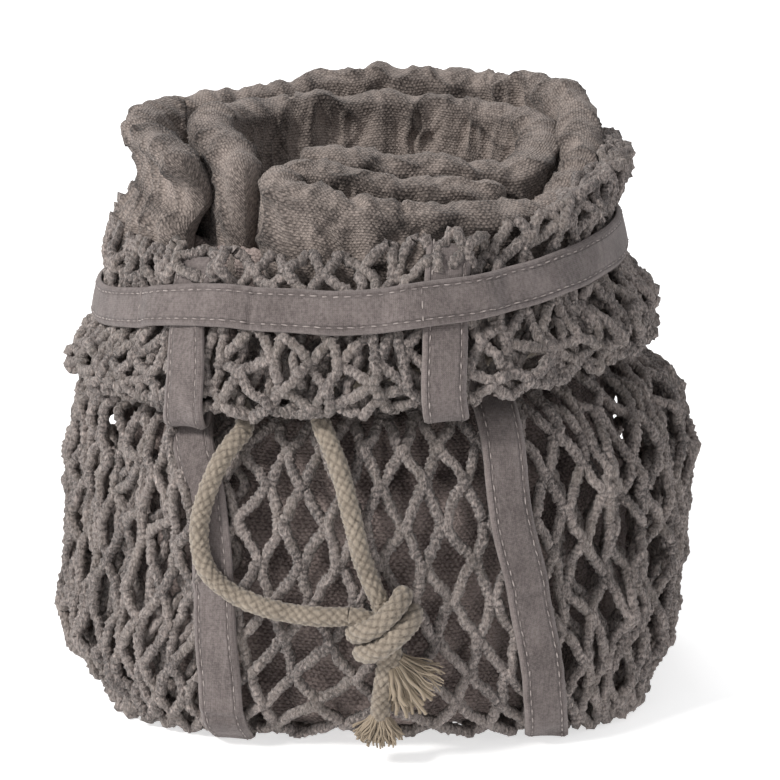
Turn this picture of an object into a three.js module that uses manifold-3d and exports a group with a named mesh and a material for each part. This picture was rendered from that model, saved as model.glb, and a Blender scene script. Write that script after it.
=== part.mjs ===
// Drawstring mesh bag with a rolled, puckered cloth standing in its mouth.
// Millimetres, +Z up, the front towards -Y. The origin is the middle of the footprint, on the floor.
import * as THREE from "three";
import { mergeVertices } from "three/addons/utils/BufferGeometryUtils.js";
import Module from "manifold-3d";

const wasm = await Module();
wasm.setup();

// Driving dimensions
const NET_THICK = 2.6; // a knitted strand, seen edge on
const NET_COLUMNS = 30; // meshes round the bag, cut at one and a half times the real pitch
const MESH_OPENING = 0.7; // an opening's share of its cell
const TAPE_WIDTH = 12;
const TAPE_THICK = 1.2;
const CORD_DIAMETER = 5.4;
const SLIVER = 0.03; // edges shorter than about this are merged after a boolean
const SEAT = 0.4; // what lies between two touching pieces
const RECESS_SLACK = 1; // how much looser the tapes lie inside the drawstring's recess
const BAND_STEPS = 90;
const CLOTH_THICK = 11.5; // the rolled cloth, folded double, at its crest
const ROLL_FOOT = 5.2; // where the roll stands on the bag's bottom
const ROLL_TOP_CORE = 132; // the grooves between the turns go down to here
const WALL_FOOT = 122; // the standing turns start here, above the drawn-in neck

// The bag's outer face from the middle of the bottom to the mouth. Each row is a ring of four
// quarter ovals: its reach to each side, its height, its rise towards +X, its lift to +Y, and how
// much squarer than an ellipse it is.
const RING_COLUMNS = ["left", "right", "front", "back", "z", "rise", "lift", "square"];
const BAG_RINGS = {
  baseMiddle: [7, 7, 6, 6, 1.6, 0, 0, 0],
  baseRing: [44, 42, 36, 37, 1.6, 0, 0, 0.2],
  baseEdge: [75, 76, 62.5, 62.5, 1.6, 0, 0, 0.44],
  heel: [80.4, 79.6, 69.6, 69.4, 4.2, 0, 0, 0.42],
  foot: [87.6, 83.4, 76.4, 75, 10.6, 0, 0, 0.34],
  low: [94, 91, 80, 80, 23, 0, 0, 0.2],
  belly: [92, 92.8, 81, 81, 45, 0, 0, 0.06],
  chest: [90.6, 94.8, 80, 79.6, 68, 1, 0, 0],
  shoulder: [87.4, 87.6, 72.5, 74, 85.5, 4, 0, 0],
  neckStart: [76.4, 76, 64.4, 66.4, 92.2, 5, 0, 0],
  neckLow: [67.4, 66, 59.6, 59.8, 96.8, 6, 0, 0],
  neck: [63.8, 62, 57.6, 57.2, 103.6, 6, 0, 0],
  neckTop: [65.6, 63.8, 59.4, 59, 108.8, 6, 0, 0],
  roof: [71.6, 69.6, 65.2, 64.6, 111.4, 6, 0, 0],
  innerTop: [77, 75, 70.6, 70, 109, 6, 0, 0],
  innerLayer: [78.4, 76.2, 72, 71.4, 103, 6, 0, 0],
  hemInner: [80, 77, 72.8, 72, 98.8, 6, 0, 0],
  hemBottom: [84.4, 78.6, 76.8, 76, 94.8, 6, 0, 0],
  hemOuter: [88.8, 82.2, 80.4, 79.4, 98.4, 6, 0, 0],
  cuff: [87, 82.4, 80.2, 79, 105.4, 6.6, 0, 0],
  bandLow: [79.4, 70.6, 75.8, 74.6, 115.2, 9.6, -0.8, 0],
  bandHigh: [77.6, 68, 71, 70, 126.6, 10, -0.2, 0],
  collar: [78.4, 71.6, 66.8, 66, 134.8, 9.2, 2.5, 0.05],
  rim: [75.4, 74.2, 62.4, 61, 144.8, 8, 6, 0.05],
};
const RING_NAMES = Object.keys(BAG_RINGS);

// The band is hitched up where it crosses the left tape: the middle and width of that place, in
// radians, and how far each ring rises there
const HITCH = { turn: -2.18, width: 0.5, rise: { cuff: 1.5, bandLow: 5.2, bandHigh: 5.2, collar: 2.4 } };

// How the net's rows of knots are spaced between those rings, and which stretches are cut open.
const NET_ZONES = [
  { from: "baseMiddle", to: "baseRing", rows: 2, open: false },
  { from: "baseRing", to: "low", rows: 3, open: true },
  { from: "low", to: "neckStart", rows: 5, open: true },
  { from: "neckStart", to: "neck", rows: 3, open: false },
  { from: "neck", to: "hemOuter", rows: 9, open: false },
  { from: "hemOuter", to: "bandLow", rows: 2, open: true },
  { from: "bandLow", to: "bandHigh", rows: 2, open: false },
  { from: "bandHigh", to: "rim", rows: 2, open: true },
];

// The tapes' reach from the middle plane at each ring. They run from the mouth down the front,
// under the bottom and up the back, and shift sideways where the net doubles back on itself.
const STRAP_COLUMNS = ["ring", "leftStrap", "rightStrap"];
const STRAP_RUN = [
  ["baseEdge", -38.6, 47.5],
  ["low", -41.5, 45.5],
  ["belly", -42.5, 41],
  ["chest", -44, 36],
  ["shoulder", -47.6, 33.4],
  ["neckStart", -49, 31.4],
  ["neck", -47.6, 27],
  ["innerLayer", -48.5, 21],
  ["hemOuter", -50, 18.5],
  ["bandLow", -49, 18.5],
  ["bandHigh", -48, 19],
  ["rim", -45, 20],
];

// The drawstring's centre line, a list chosen by hand from the photo. It leaves the recess under
// the hem at two places, and both ends hang down the front into one knot.
const RING_TURNS = { from: -88, to: 223, step: 12 };
const RING_HEIGHT = 103.9;
const RING_OUT = 6.9; // from the drawn-in neck to the cord's middle
const RIGHT_EXIT = [
  [-7.6, -66.4, 101.6],
  [-12, -67, 98.2],
  [-14.15, -69.7, 93.9],
];
const LEFT_EXIT = [
  [-41.6, -52.6, 98.9],
  [-37.2, -58, 95.8],
  [-35, -61.8, 92.8],
  [-34.2, -65.5, 90.2],
];
const LEFT_RUN = [
  [-34.8, -67.4, 88.5],
  [-37.9, -70.2, 85.4],
  [-40.8, -72.7, 81.3],
  [-42.8, -74, 77.1],
  [-44.5, -74.8, 72.7],
  [-45.7, -75.3, 68.3],
  [-46.3, -75.7, 63.7],
  [-46.1, -76.1, 59.2],
  [-45.1, -76.9, 54.9],
  [-42.5, -78.1, 51.1],
  [-37.8, -79.9, 47.8],
  [-32, -81.4, 45.3],
  [-25.7, -82.3, 43.6],
  [-19.5, -83.2, 42.7],
  [-12.8, -84.1, 42.4],
  [-6.4, -84.8, 42.8],
];
const RIGHT_RUN = [
  [-14, -71.4, 92.4],
  [-13.2, -72.9, 90.6],
  [-12.1, -74.5, 88.5],
  [-10.8, -76.2, 85.8],
  [-9.5, -77.9, 82.9],
  [-8.4, -79.6, 79.8],
  [-7.4, -81, 76.5],
  [-6.5, -82.2, 72.9],
  [-5.6, -83.2, 69.3],
  [-4.7, -84, 65.6],
  [-3.8, -84.5, 61.8],
  [-2.8, -84.8, 58.2],
  [-1.5, -84.9, 54.5],
  [0.1, -84.9, 50.6],
  [1.8, -84.9, 46.6],
];
const CORD_STEP = 2; // diameters

// The knot, in strands of the same cord, and its two tails
const KNOT_STRANDS = [
  [
    [3.4, -84.8, 45.4],
    [3.2, -86.4, 41],
    [3.4, -86.6, 36],
    [3.4, -85.2, 30],
    [2.8, -84.8, 25.6],
    [2, -84.6, 19.6],
    [1.7, -84.2, 12.6],
  ],
  [
    [-4.6, -84.8, 42],
    [0, -86, 40],
    [4, -86, 35],
    [5.4, -85, 31],
    [6, -84.6, 28],
  ],
  [
    [8, -84.8, 50.4],
    [6.4, -88.4, 48.6],
    [3.2, -90.2, 45],
    [-0.6, -89.8, 41.2],
    [-4.6, -86, 38.4],
  ],
  [
    [11, -84.8, 44.8],
    [9.6, -88.4, 42.6],
    [5.8, -90.4, 39],
    [1.4, -90, 35.4],
    [-2.8, -85.6, 33],
  ],
];
const TUFTS = [
  { strands: 11, root: [1.7, -84.1, 14.6], tip: [1.2, -83.4, 7], spread: 6, thick: 1.4 },
  { strands: 13, root: [6, -84.6, 29], tip: [12.4, -83.4, 14.6], spread: 7.4, thick: 1.3 },
];

// The rolled cloth, as two windings of folded layers. The outer one runs from its loose end at the
// front on the left, clockwise round the back to the front, and folds back inwards there. The
// columns are the place seen from above and the crest's height there.
const ROLL_COLUMNS = ["x", "y", "crest"];
const WINDINGS = {
  outer: [
    [-49.5, -37, 159.5],
    [-59.5, -22, 163],
    [-65, -1, 164.5],
    [-60, 20, 164.5],
    [-41, 36, 166],
    [-14, 43.5, 169],
    [12, 44.5, 170],
    [36, 40.5, 170.4],
    [52.2, 27, 169.6],
    [58.6, 1, 162.4],
    [52.6, -26.2, 150],
    [34, -44, 147],
    [6, -49.4, 148.8],
    [-17, -48.4, 152.6],
    [-23.3, -46, 154.6],
    [-25.2, -41, 156],
    [-23.3, -36, 156.2],
    [-17, -33.8, 155.8],
    [-2, -34, 153.8],
    [16, -34.5, 151.5],
    [36, -28, 150],
  ],
  inner: [
    [-38, -38, 160],
    [-43.5, -24, 165],
    [-47, -4, 165.5],
    [-42, 14, 164.5],
    [-27, 27, 164.5],
    [-6, 31.5, 164.5],
    [14, 32, 164.5],
    [33, 28, 163.5],
    [45.5, 14, 161],
    [47, -4, 157],
    [38, -17, 153.5],
    [22, -21.5, 154],
    [4, -22, 156],
    [-11, -20, 157],
  ],
};
const PUCKER_PITCH = 15;
const PUCKER_DEPTH = 0.9;
const CORE_COLUMNS = ["left", "right", "front", "back", "z"];
const CORE_RINGS = [
  [48, 48, 41, 41, ROLL_FOOT],
  [62, 61, 54, 53, 10],
  [72, 71, 63, 61, 38],
  [71, 71, 63, 61, 66],
  [64, 63, 57, 56, 86],
  [58, 56, 52, 51.5, 98],
  [57.5, 56, 51.5, 51, 114],
  [60, 58, 52, 50, 124],
  [59, 57, 50, 47, ROLL_TOP_CORE],
];

// Small helpers
const named = (columns, row) => Object.fromEntries(columns.map((name, i) => [name, row[i]]));
const smooth = (t) => {
  const s = Math.min(1, Math.max(0, t));
  return s * s * (3 - 2 * s);
};

/** A smooth curve through a table's column, with t counted in rows. */
function along(rows, column, t) {
  const last = rows.length - 1;
  const at = (i) => rows[Math.min(last, Math.max(0, i))][column];
  const i = Math.min(last - 1, Math.max(0, Math.floor(t)));
  const s = t - i;
  const [a, b, c, d] = [at(i - 1), at(i), at(i + 1), at(i + 2)];
  return b + 0.5 * s * (c - a + s * (2 * a - 5 * b + 4 * c - d + s * (3 * (b - c) + d - a)));
}

/** Builds a geometry from points and triangles given as indices. */
function meshOf(points, triangles) {
  const geometry = new THREE.BufferGeometry();
  geometry.setAttribute("position", new THREE.Float32BufferAttribute(points.flatMap((p) => p.toArray()), 3));
  geometry.setIndex(triangles.flat());
  return geometry;
}

/** Turns a closed geometry into a manifold solid. */
function solidOf(geometry) {
  const bare = geometry.clone();
  for (const name of ["normal", "uv"]) bare.deleteAttribute(name);
  const merged = mergeVertices(bare, 1e-4);
  return new wasm.Manifold(
    new wasm.Mesh({
      numProp: 3,
      vertProperties: new Float32Array(merged.attributes.position.array),
      triVerts: new Uint32Array(merged.index.array),
    }),
  );
}

/** Turns a manifold solid back into a geometry, without the slivers that joining leaves. */
function geometryOf(solid) {
  const mesh = solid.simplify(SLIVER).getMesh();
  const geometry = new THREE.BufferGeometry();
  geometry.setAttribute("position", new THREE.BufferAttribute(new Float32Array(mesh.vertProperties), 3));
  geometry.setIndex(new THREE.BufferAttribute(new Uint32Array(mesh.triVerts), 1));
  return geometry;
}

/** Joins closed sections, each a list of points in the same order, into one capped body. */
function loft(sections) {
  const sides = sections[0].length;
  const triangles = [];
  for (let j = 0; j < sections.length - 1; j++) {
    for (let i = 0; i < sides; i++) {
      const [a, b] = [j * sides + i, j * sides + ((i + 1) % sides)];
      triangles.push([a, b, b + sides], [a, b + sides, a + sides]);
    }
  }
  const end = (sections.length - 1) * sides;
  for (let i = 1; i < sides - 1; i++) {
    triangles.push([0, i + 1, i], [end, end + i, end + i + 1]);
  }
  return meshOf(sections.flat(), triangles);
}

// The bag's skin
const bagRows = RING_NAMES.map((name) => ({
  ...named(RING_COLUMNS, BAG_RINGS[name]),
  hitch: HITCH.rise[name] ?? 0,
}));
const ringAt = (name) => RING_NAMES.indexOf(name);

/** A point of the bag's outer face: climb is counted in rings, and turn 0 is +X, 90 degrees is +Y. */
function skin(climb, turn) {
  const value = (column) => along(bagRows, column, climb);
  const power = 1 - value("square");
  const [c, s] = [Math.cos(turn), Math.sin(turn)].map((v) => Math.sign(v) * Math.abs(v) ** power);
  const reach = c > 0 ? value("right") : value("left");
  const depth = s > 0 ? value("back") : value("front");
  const away = Math.atan2(Math.sin(turn - HITCH.turn), Math.cos(turn - HITCH.turn)) / HITCH.width;
  const height = value("z") + value("rise") * c + value("lift") * s + value("hitch") * Math.exp(-(away ** 2));
  return new THREE.Vector3(reach * c, depth * s, height);
}

/** The outward normal of the bag's outer face. */
function skinNormal(climb, turn) {
  const step = 0.02;
  const low = Math.max(0, climb - step);
  const high = Math.min(bagRows.length - 1, climb + step);
  const up = skin(high, turn).sub(skin(low, turn));
  const round = skin(climb, turn + step).sub(skin(climb, turn - step));
  return round.cross(up).normalize();
}

/** A point at a height over the bag's outer face, or under it where the height is negative. */
const offSkin = (climb, turn, height) => skin(climb, turn).addScaledVector(skinNormal(climb, turn), height);

/** The climbs of the net's rows of knots, evenly spaced by length within each zone. */
function knotRows() {
  const fine = 40;
  const rows = [{ climb: 0, open: false }];
  for (const zone of NET_ZONES) {
    const [from, to] = [ringAt(zone.from), ringAt(zone.to)];
    const steps = (to - from) * fine;
    const lengths = [0];
    for (let i = 1; i <= steps; i++) {
      const [a, b] = [from + (i - 1) / fine, from + i / fine];
      lengths.push(lengths[i - 1] + skin(b, Math.PI).distanceTo(skin(a, Math.PI)));
    }
    for (let k = 1; k <= zone.rows; k++) {
      const target = (lengths[steps] * k) / zone.rows;
      let i = lengths.findIndex((length) => length >= target - 1e-9);
      i = Math.max(1, i);
      const share = (target - lengths[i - 1]) / (lengths[i] - lengths[i - 1]);
      rows[rows.length - 1].openAbove = zone.open;
      rows.push({ climb: from + (i - 1 + share) / fine, openBelow: zone.open });
    }
  }
  return rows;
}

/** The knitted net: one sheet with diamond meshes, from the middle of the bottom to the mouth. */
function netGeometry() {
  const rows = knotRows();
  const last = rows.length - 1;
  const halfSteps = 2 * NET_COLUMNS;
  const points = [];
  const triangles = [];
  const place = (row, column) => {
    const j = Math.min(last - 1, Math.max(0, Math.floor(row)));
    const climb = rows[j].climb + (row - j) * (rows[j + 1].climb - rows[j].climb);
    const turn = (column / halfSteps) * 2 * Math.PI;
    const first = points.length;
    points.push(skin(climb, turn), offSkin(climb, turn, -NET_THICK));
    return first;
  };
  const knots = new Map();
  const knot = (row, column) => {
    const key = `${row}:${(column + halfSteps) % halfSteps}`;
    if (!knots.has(key)) knots.set(key, place(row, column));
    return knots.get(key);
  };
  const face = (...corners) => {
    for (let i = 1; i < corners.length - 1; i++) {
      triangles.push([corners[0], corners[i], corners[i + 1]]);
      triangles.push([corners[0] + 1, corners[i + 1] + 1, corners[i] + 1]);
    }
  };
  const edgeWall = (a, b) => triangles.push([a, b, b + 1], [a, b + 1, a + 1]);
  for (let row = 0; row <= last; row++) {
    for (let column = row % 2 ? 0 : 1; column < halfSteps; column += 2) {
      const [left, right] = [knot(row, column - 1), knot(row, column + 1)];
      const below = row > 0 ? knot(row - 1, column) : null;
      const above = row < last ? knot(row + 1, column) : null;
      if (row > 0 && row < last && rows[row].openBelow && rows[row].openAbove) {
        const hole = [
          place(row, column - MESH_OPENING),
          place(row - MESH_OPENING, column),
          place(row, column + MESH_OPENING),
          place(row + MESH_OPENING, column),
        ];
        const tile = [left, below, right, above];
        for (let i = 0; i < 4; i++) {
          const next = (i + 1) % 4;
          face(tile[i], tile[next], hole[next], hole[i]);
          edgeWall(hole[i], hole[next]);
        }
        continue;
      }
      if (below !== null) face(left, below, right);
      if (above !== null) face(left, right, above);
      if (row === last) edgeWall(left, right);
    }
  }
  const middle = points.length;
  const centre = new THREE.Vector3(0, 0, bagRows[0].z);
  points.push(centre, centre.clone().setZ(bagRows[0].z + NET_THICK));
  for (let column = 1; column < halfSteps; column += 2) {
    face(knot(0, column - 1), middle, knot(0, column + 1));
  }
  return meshOf(points, triangles);
}

// The tapes
const strapRows = STRAP_RUN.map((row) => named(STRAP_COLUMNS, row));

/** A strap's distance from the middle plane at a climb. */
function strapReach(strap, climb) {
  const rings = strapRows.map((row) => ringAt(row.ring));
  let i = rings.findIndex((ring) => ring > climb);
  if (i < 0) i = rings.length - 1;
  i = Math.max(1, i);
  return along(strapRows, strap, i - 1 + (climb - rings[i - 1]) / (rings[i] - rings[i - 1]));
}

/** The turn at which the front, or the back, of the skin is that far from the middle plane. */
function turnAt(climb, reach, side) {
  const half = along(bagRows, reach > 0 ? "right" : "left", climb);
  const share = Math.abs(reach / half) ** (1 / (1 - along(bagRows, "square", climb)));
  return side * Math.acos(Math.sign(reach) * share);
}

/** A tape's cross-section on the skin, as four corners. */
function tapeSection(middle, normal, across, height) {
  const corner = (side, lift) =>
    middle
      .clone()
      .addScaledVector(across, (side * TAPE_WIDTH) / 2)
      .addScaledVector(normal, height + lift);
  return [corner(-1, 0), corner(1, 0), corner(1, TAPE_THICK), corner(-1, TAPE_THICK)];
}

/** How far a strap stands off the net: more inside the recess, where the net turns back. */
function strapStand(climb) {
  const recess = smooth(climb + 1 - ringAt("shoulder")) * smooth(ringAt("hemOuter") - climb);
  const roof = smooth(climb - ringAt("neck")) * smooth(ringAt("hemInner") - climb);
  return SEAT + RECESS_SLACK * (0.86 * recess + roof);
}

/** One long tape, sewn on from mouth to mouth under the bottom. */
function strapGeometry(strap) {
  const start = ringAt("baseEdge");
  const end = ringAt("rim") - 0.12;
  const steps = 54;
  const run = (side) => {
    const sections = [];
    for (let k = 0; k <= steps; k++) {
      const climb = start + ((end - start) * k) / steps;
      const place = (c) => skin(c, turnAt(c, strapReach(strap, c), side));
      const turn = turnAt(climb, strapReach(strap, climb), side);
      const level = 1 - smooth((climb - start - 0.35) / 0.8);
      const normal = skinNormal(climb, turn).lerp(new THREE.Vector3(0, 0, -1), level).normalize();
      const ahead = place(Math.min(end, climb + 0.05)).sub(place(Math.max(start, climb - 0.05)));
      const across = ahead.cross(normal).normalize();
      if (side > 0) across.negate();
      sections.push(tapeSection(skin(climb, turn), normal, across, strapStand(climb)));
    }
    return sections;
  };
  const front = run(-1).reverse();
  const back = run(1);
  return loft([...front, ...back]);
}

/** How far the band stands off the net: more where it crosses over a strap. */
function bandStand(climb, turn) {
  let stand = SEAT;
  for (const strap of ["leftStrap", "rightStrap"]) {
    for (const side of [-1, 1]) {
      const crossing = turnAt(climb, strapReach(strap, climb), side);
      const away = Math.abs(Math.atan2(Math.sin(turn - crossing), Math.cos(turn - crossing)));
      stand += (TAPE_THICK + 1.8 * SEAT) * (1 - smooth((away - 0.15) / 0.1));
    }
  }
  return stand;
}

/** The band of tape round the mouth. */
function bandGeometry() {
  const [low, high] = [ringAt("bandLow"), ringAt("bandHigh")];
  const points = [];
  const triangles = [];
  for (let i = 0; i < BAND_STEPS; i++) {
    const turn = (2 * Math.PI * i) / BAND_STEPS;
    for (const [climb, lift] of [[low, 0], [low, TAPE_THICK], [high, TAPE_THICK], [high, 0]]) {
      points.push(offSkin(climb, turn, bandStand(climb, turn) + lift));
    }
    const [here, next] = [4 * i, 4 * ((i + 1) % BAND_STEPS)];
    for (let k = 0; k < 4; k++) {
      const [a, b] = [here + k, here + ((k + 1) % 4)];
      const [c, d] = [next + ((k + 1) % 4), next + k];
      triangles.push([a, d, c], [a, c, b]);
    }
  }
  return meshOf(points, triangles);
}

// The drawstring and its knot

/** The held part of the cord: round the drawn-in neck, and out under the hem at both ends. */
function ringRoute() {
  const route = RIGHT_EXIT.map((p) => new THREE.Vector3(...p)).reverse();
  for (let turn = RING_TURNS.from; turn <= RING_TURNS.to; turn += RING_TURNS.step) {
    const angle = THREE.MathUtils.degToRad(turn);
    const point = skin(ringAt("neck"), angle);
    const out = new THREE.Vector3(Math.cos(angle), Math.sin(angle), 0).multiplyScalar(RING_OUT);
    point.add(out);
    point.z = RING_HEIGHT + bagRows[ringAt("neck")].rise * Math.cos(angle);
    route.push(point);
  }
  return [...route, ...LEFT_EXIT.map((p) => new THREE.Vector3(...p))];
}

/** A round tube along a smooth route. */
function tube(route, diameter, stepLength = CORD_STEP * CORD_DIAMETER, sides = 10) {
  const path = new THREE.CatmullRomCurve3(route, false, "centripetal");
  const section = new THREE.Shape();
  for (let i = 0; i < sides; i++) {
    const angle = (2 * Math.PI * i) / sides;
    section[i ? "lineTo" : "moveTo"]((diameter / 2) * Math.cos(angle), (diameter / 2) * Math.sin(angle));
  }
  section.closePath();
  const steps = Math.max(3, Math.round(path.getLength() / stepLength));
  return new THREE.ExtrudeGeometry(section, { steps, bevelEnabled: false, extrudePath: path });
}

const points3 = (rows) => rows.map((p) => new THREE.Vector3(...p));

/** One frayed tuft: thin strands that fan out from a root inside the cord. */
function tuftStrands({ strands, root, tip, spread, thick }) {
  const from = new THREE.Vector3(...root);
  const to = new THREE.Vector3(...tip);
  const side = to.clone().sub(from).cross(new THREE.Vector3(0, 1, 0)).normalize();
  const solids = [];
  for (let i = 0; i < strands; i++) {
    const share = (2 * i) / (strands - 1) - 1;
    const reach = 1 - 0.22 * Math.abs(share) - 0.1 * Math.sin(5 * i);
    const end = from.clone().lerp(to, reach).addScaledVector(side, spread * share);
    end.y += 1.1 * Math.sin(2.4 * i);
    const bend = from.clone().lerp(end, 0.5).addScaledVector(side, 0.22 * spread * share);
    const start = from.clone().addScaledVector(side, 1.6 * share);
    solids.push(solidOf(tube([start, bend, end], thick, 5, 4)));
  }
  return solids;
}

/** The knot with both tails, hollowed a little where the two runs enter it. */
function knotGeometry() {
  const strands = KNOT_STRANDS.map((route) => solidOf(tube(points3(route), CORD_DIAMETER, 5.5, 8)));
  const tufts = TUFTS.flatMap(tuftStrands);
  const sockets = [LEFT_RUN, RIGHT_RUN].map((route) => {
    const last = points3(route.slice(-3));
    const beyond = last[2].clone().sub(last[1]).setLength(SEAT);
    last[2].add(beyond);
    return solidOf(tube(last, CORD_DIAMETER + 2 * SEAT, 5));
  });
  const whole = wasm.Manifold.union([...strands, ...tufts]);
  return geometryOf(whole.subtract(wasm.Manifold.union(sockets)));
}

// The rolled cloth

/** A standing winding, with a rounded crest that rises and falls and soft puckers along it. */
function windingSolid(route) {
  const rows = route.map((row) => named(ROLL_COLUMNS, row));
  const perRow = 5;
  const steps = (rows.length - 1) * perRow;
  const middle = (t) => new THREE.Vector3(along(rows, "x", t), along(rows, "y", t), 0);
  const sections = [];
  let travelled = 0;
  for (let k = 0; k <= steps; k++) {
    const t = k / perRow;
    const here = middle(t);
    if (k) travelled += here.distanceTo(middle((k - 1) / perRow));
    const ahead = middle(Math.min(rows.length - 1, t + 0.1)).sub(middle(Math.max(0, t - 0.1)));
    const across = ahead.cross(new THREE.Vector3(0, 0, 1)).normalize();
    const wave = Math.sin((2 * Math.PI * travelled) / PUCKER_PITCH);
    const ends = Math.min(1, 0.6 + Math.min(k, steps - k) / 5);
    const half = (CLOTH_THICK / 2) * ends + 0.3 * wave;
    const crest = along(rows, "crest", t) + PUCKER_DEPTH * Math.sin(travelled / 3.1);
    here.addScaledVector(across, 0.45 * PUCKER_DEPTH * wave);
    const at = (side, z) => here.clone().addScaledVector(across, side * half).setZ(z);
    sections.push([
      at(1, WALL_FOOT),
      at(1, crest - half),
      at(0.72, crest - 0.3 * half),
      at(0, crest),
      at(-0.72, crest - 0.3 * half),
      at(-1, crest - half),
      at(-1, WALL_FOOT),
    ]);
  }
  return solidOf(outward(loft(sections)));
}

/** The roll's column inside the bag. */
function coreSolid() {
  const sides = 44;
  const rings = CORE_RINGS.map((row) => named(CORE_COLUMNS, row));
  const sections = rings.map((ring) =>
    Array.from({ length: sides }, (_, i) => {
      const turn = (2 * Math.PI * i) / sides;
      const [c, s] = [Math.cos(turn), Math.sin(turn)];
      return new THREE.Vector3((c > 0 ? ring.right : ring.left) * c, (s > 0 ? ring.back : ring.front) * s, ring.z);
    }),
  );
  return solidOf(outward(loft(sections)));
}

/** Turns a closed geometry's faces round where they point inwards. */
function outward(geometry) {
  const p = geometry.attributes.position;
  const index = geometry.index;
  const [a, b, c] = [new THREE.Vector3(), new THREE.Vector3(), new THREE.Vector3()];
  let volume = 0;
  for (let i = 0; i < index.count; i += 3) {
    a.fromBufferAttribute(p, index.getX(i));
    b.fromBufferAttribute(p, index.getX(i + 1));
    c.fromBufferAttribute(p, index.getX(i + 2));
    volume += a.dot(b.cross(c));
  }
  if (volume < 0) {
    for (let i = 0; i < index.count; i += 3) {
      const swap = index.getX(i);
      index.setX(i, index.getX(i + 1));
      index.setX(i + 1, swap);
    }
  }
  return geometry;
}

// The whole part
const finish = (colour, roughness) => new THREE.MeshStandardMaterial({ color: colour, roughness, metalness: 0 });
const KNIT = finish("#8d837e", 0.95);
const TAPE = finish("#837876", 0.9);
const CLOTH = finish("#7f7671", 0.95);
const CORD = finish("#91867a", 0.9);

const bag = new THREE.Group();
const add = (name, geometry, material) => {
  const mesh = new THREE.Mesh(geometry, material);
  mesh.name = name;
  bag.add(mesh);
};
add("net", outward(netGeometry()), KNIT);
add("mouth_band", outward(bandGeometry()), TAPE);
add("strap_left", outward(strapGeometry("leftStrap")), TAPE);
add("strap_right", outward(strapGeometry("rightStrap")), TAPE);
add("drawstring", tube(ringRoute(), CORD_DIAMETER), CORD);
add("cord_left", tube(points3(LEFT_RUN), CORD_DIAMETER), CORD);
add("cord_right", tube(points3(RIGHT_RUN), CORD_DIAMETER), CORD);
add("cord_knot", knotGeometry(), CORD);
const windings = Object.values(WINDINGS).map(windingSolid);
add("rolled_cloth", geometryOf(wasm.Manifold.union([coreSolid(), ...windings])), CLOTH);

export default bag;
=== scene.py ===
"""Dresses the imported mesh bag: a knitted net, sewn tapes, a braided drawstring and a rolled cloth.

Tables are in millimetres, like the part's source, and meshes are in metres. +Z is up and the front
faces -Y.
"""

import logging
import math
from collections.abc import Sequence
from dataclasses import dataclass, field
from enum import Enum

import bpy
import numpy as np
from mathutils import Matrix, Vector, noise


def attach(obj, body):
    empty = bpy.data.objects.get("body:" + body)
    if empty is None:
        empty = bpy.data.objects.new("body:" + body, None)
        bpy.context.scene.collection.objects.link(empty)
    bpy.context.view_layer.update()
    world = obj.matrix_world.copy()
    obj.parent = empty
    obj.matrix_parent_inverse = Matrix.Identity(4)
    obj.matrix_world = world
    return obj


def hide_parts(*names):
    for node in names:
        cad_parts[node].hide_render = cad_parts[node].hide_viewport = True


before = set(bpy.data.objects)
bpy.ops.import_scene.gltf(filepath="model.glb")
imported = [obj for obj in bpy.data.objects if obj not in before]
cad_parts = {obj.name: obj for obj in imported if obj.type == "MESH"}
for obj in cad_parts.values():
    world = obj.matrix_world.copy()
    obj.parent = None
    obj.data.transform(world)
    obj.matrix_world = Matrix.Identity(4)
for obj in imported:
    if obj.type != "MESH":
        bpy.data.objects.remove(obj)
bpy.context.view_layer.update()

Array = np.ndarray
Piece = bpy.types.Object
Finish = bpy.types.Material
Colour = tuple[float, float, float]
Value = "Wire | float | int | str | Sequence[float] | bpy.types.ID"

LOG = logging.getLogger("mesh_bag")
MM = 0.001
ROOT = "root"

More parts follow.
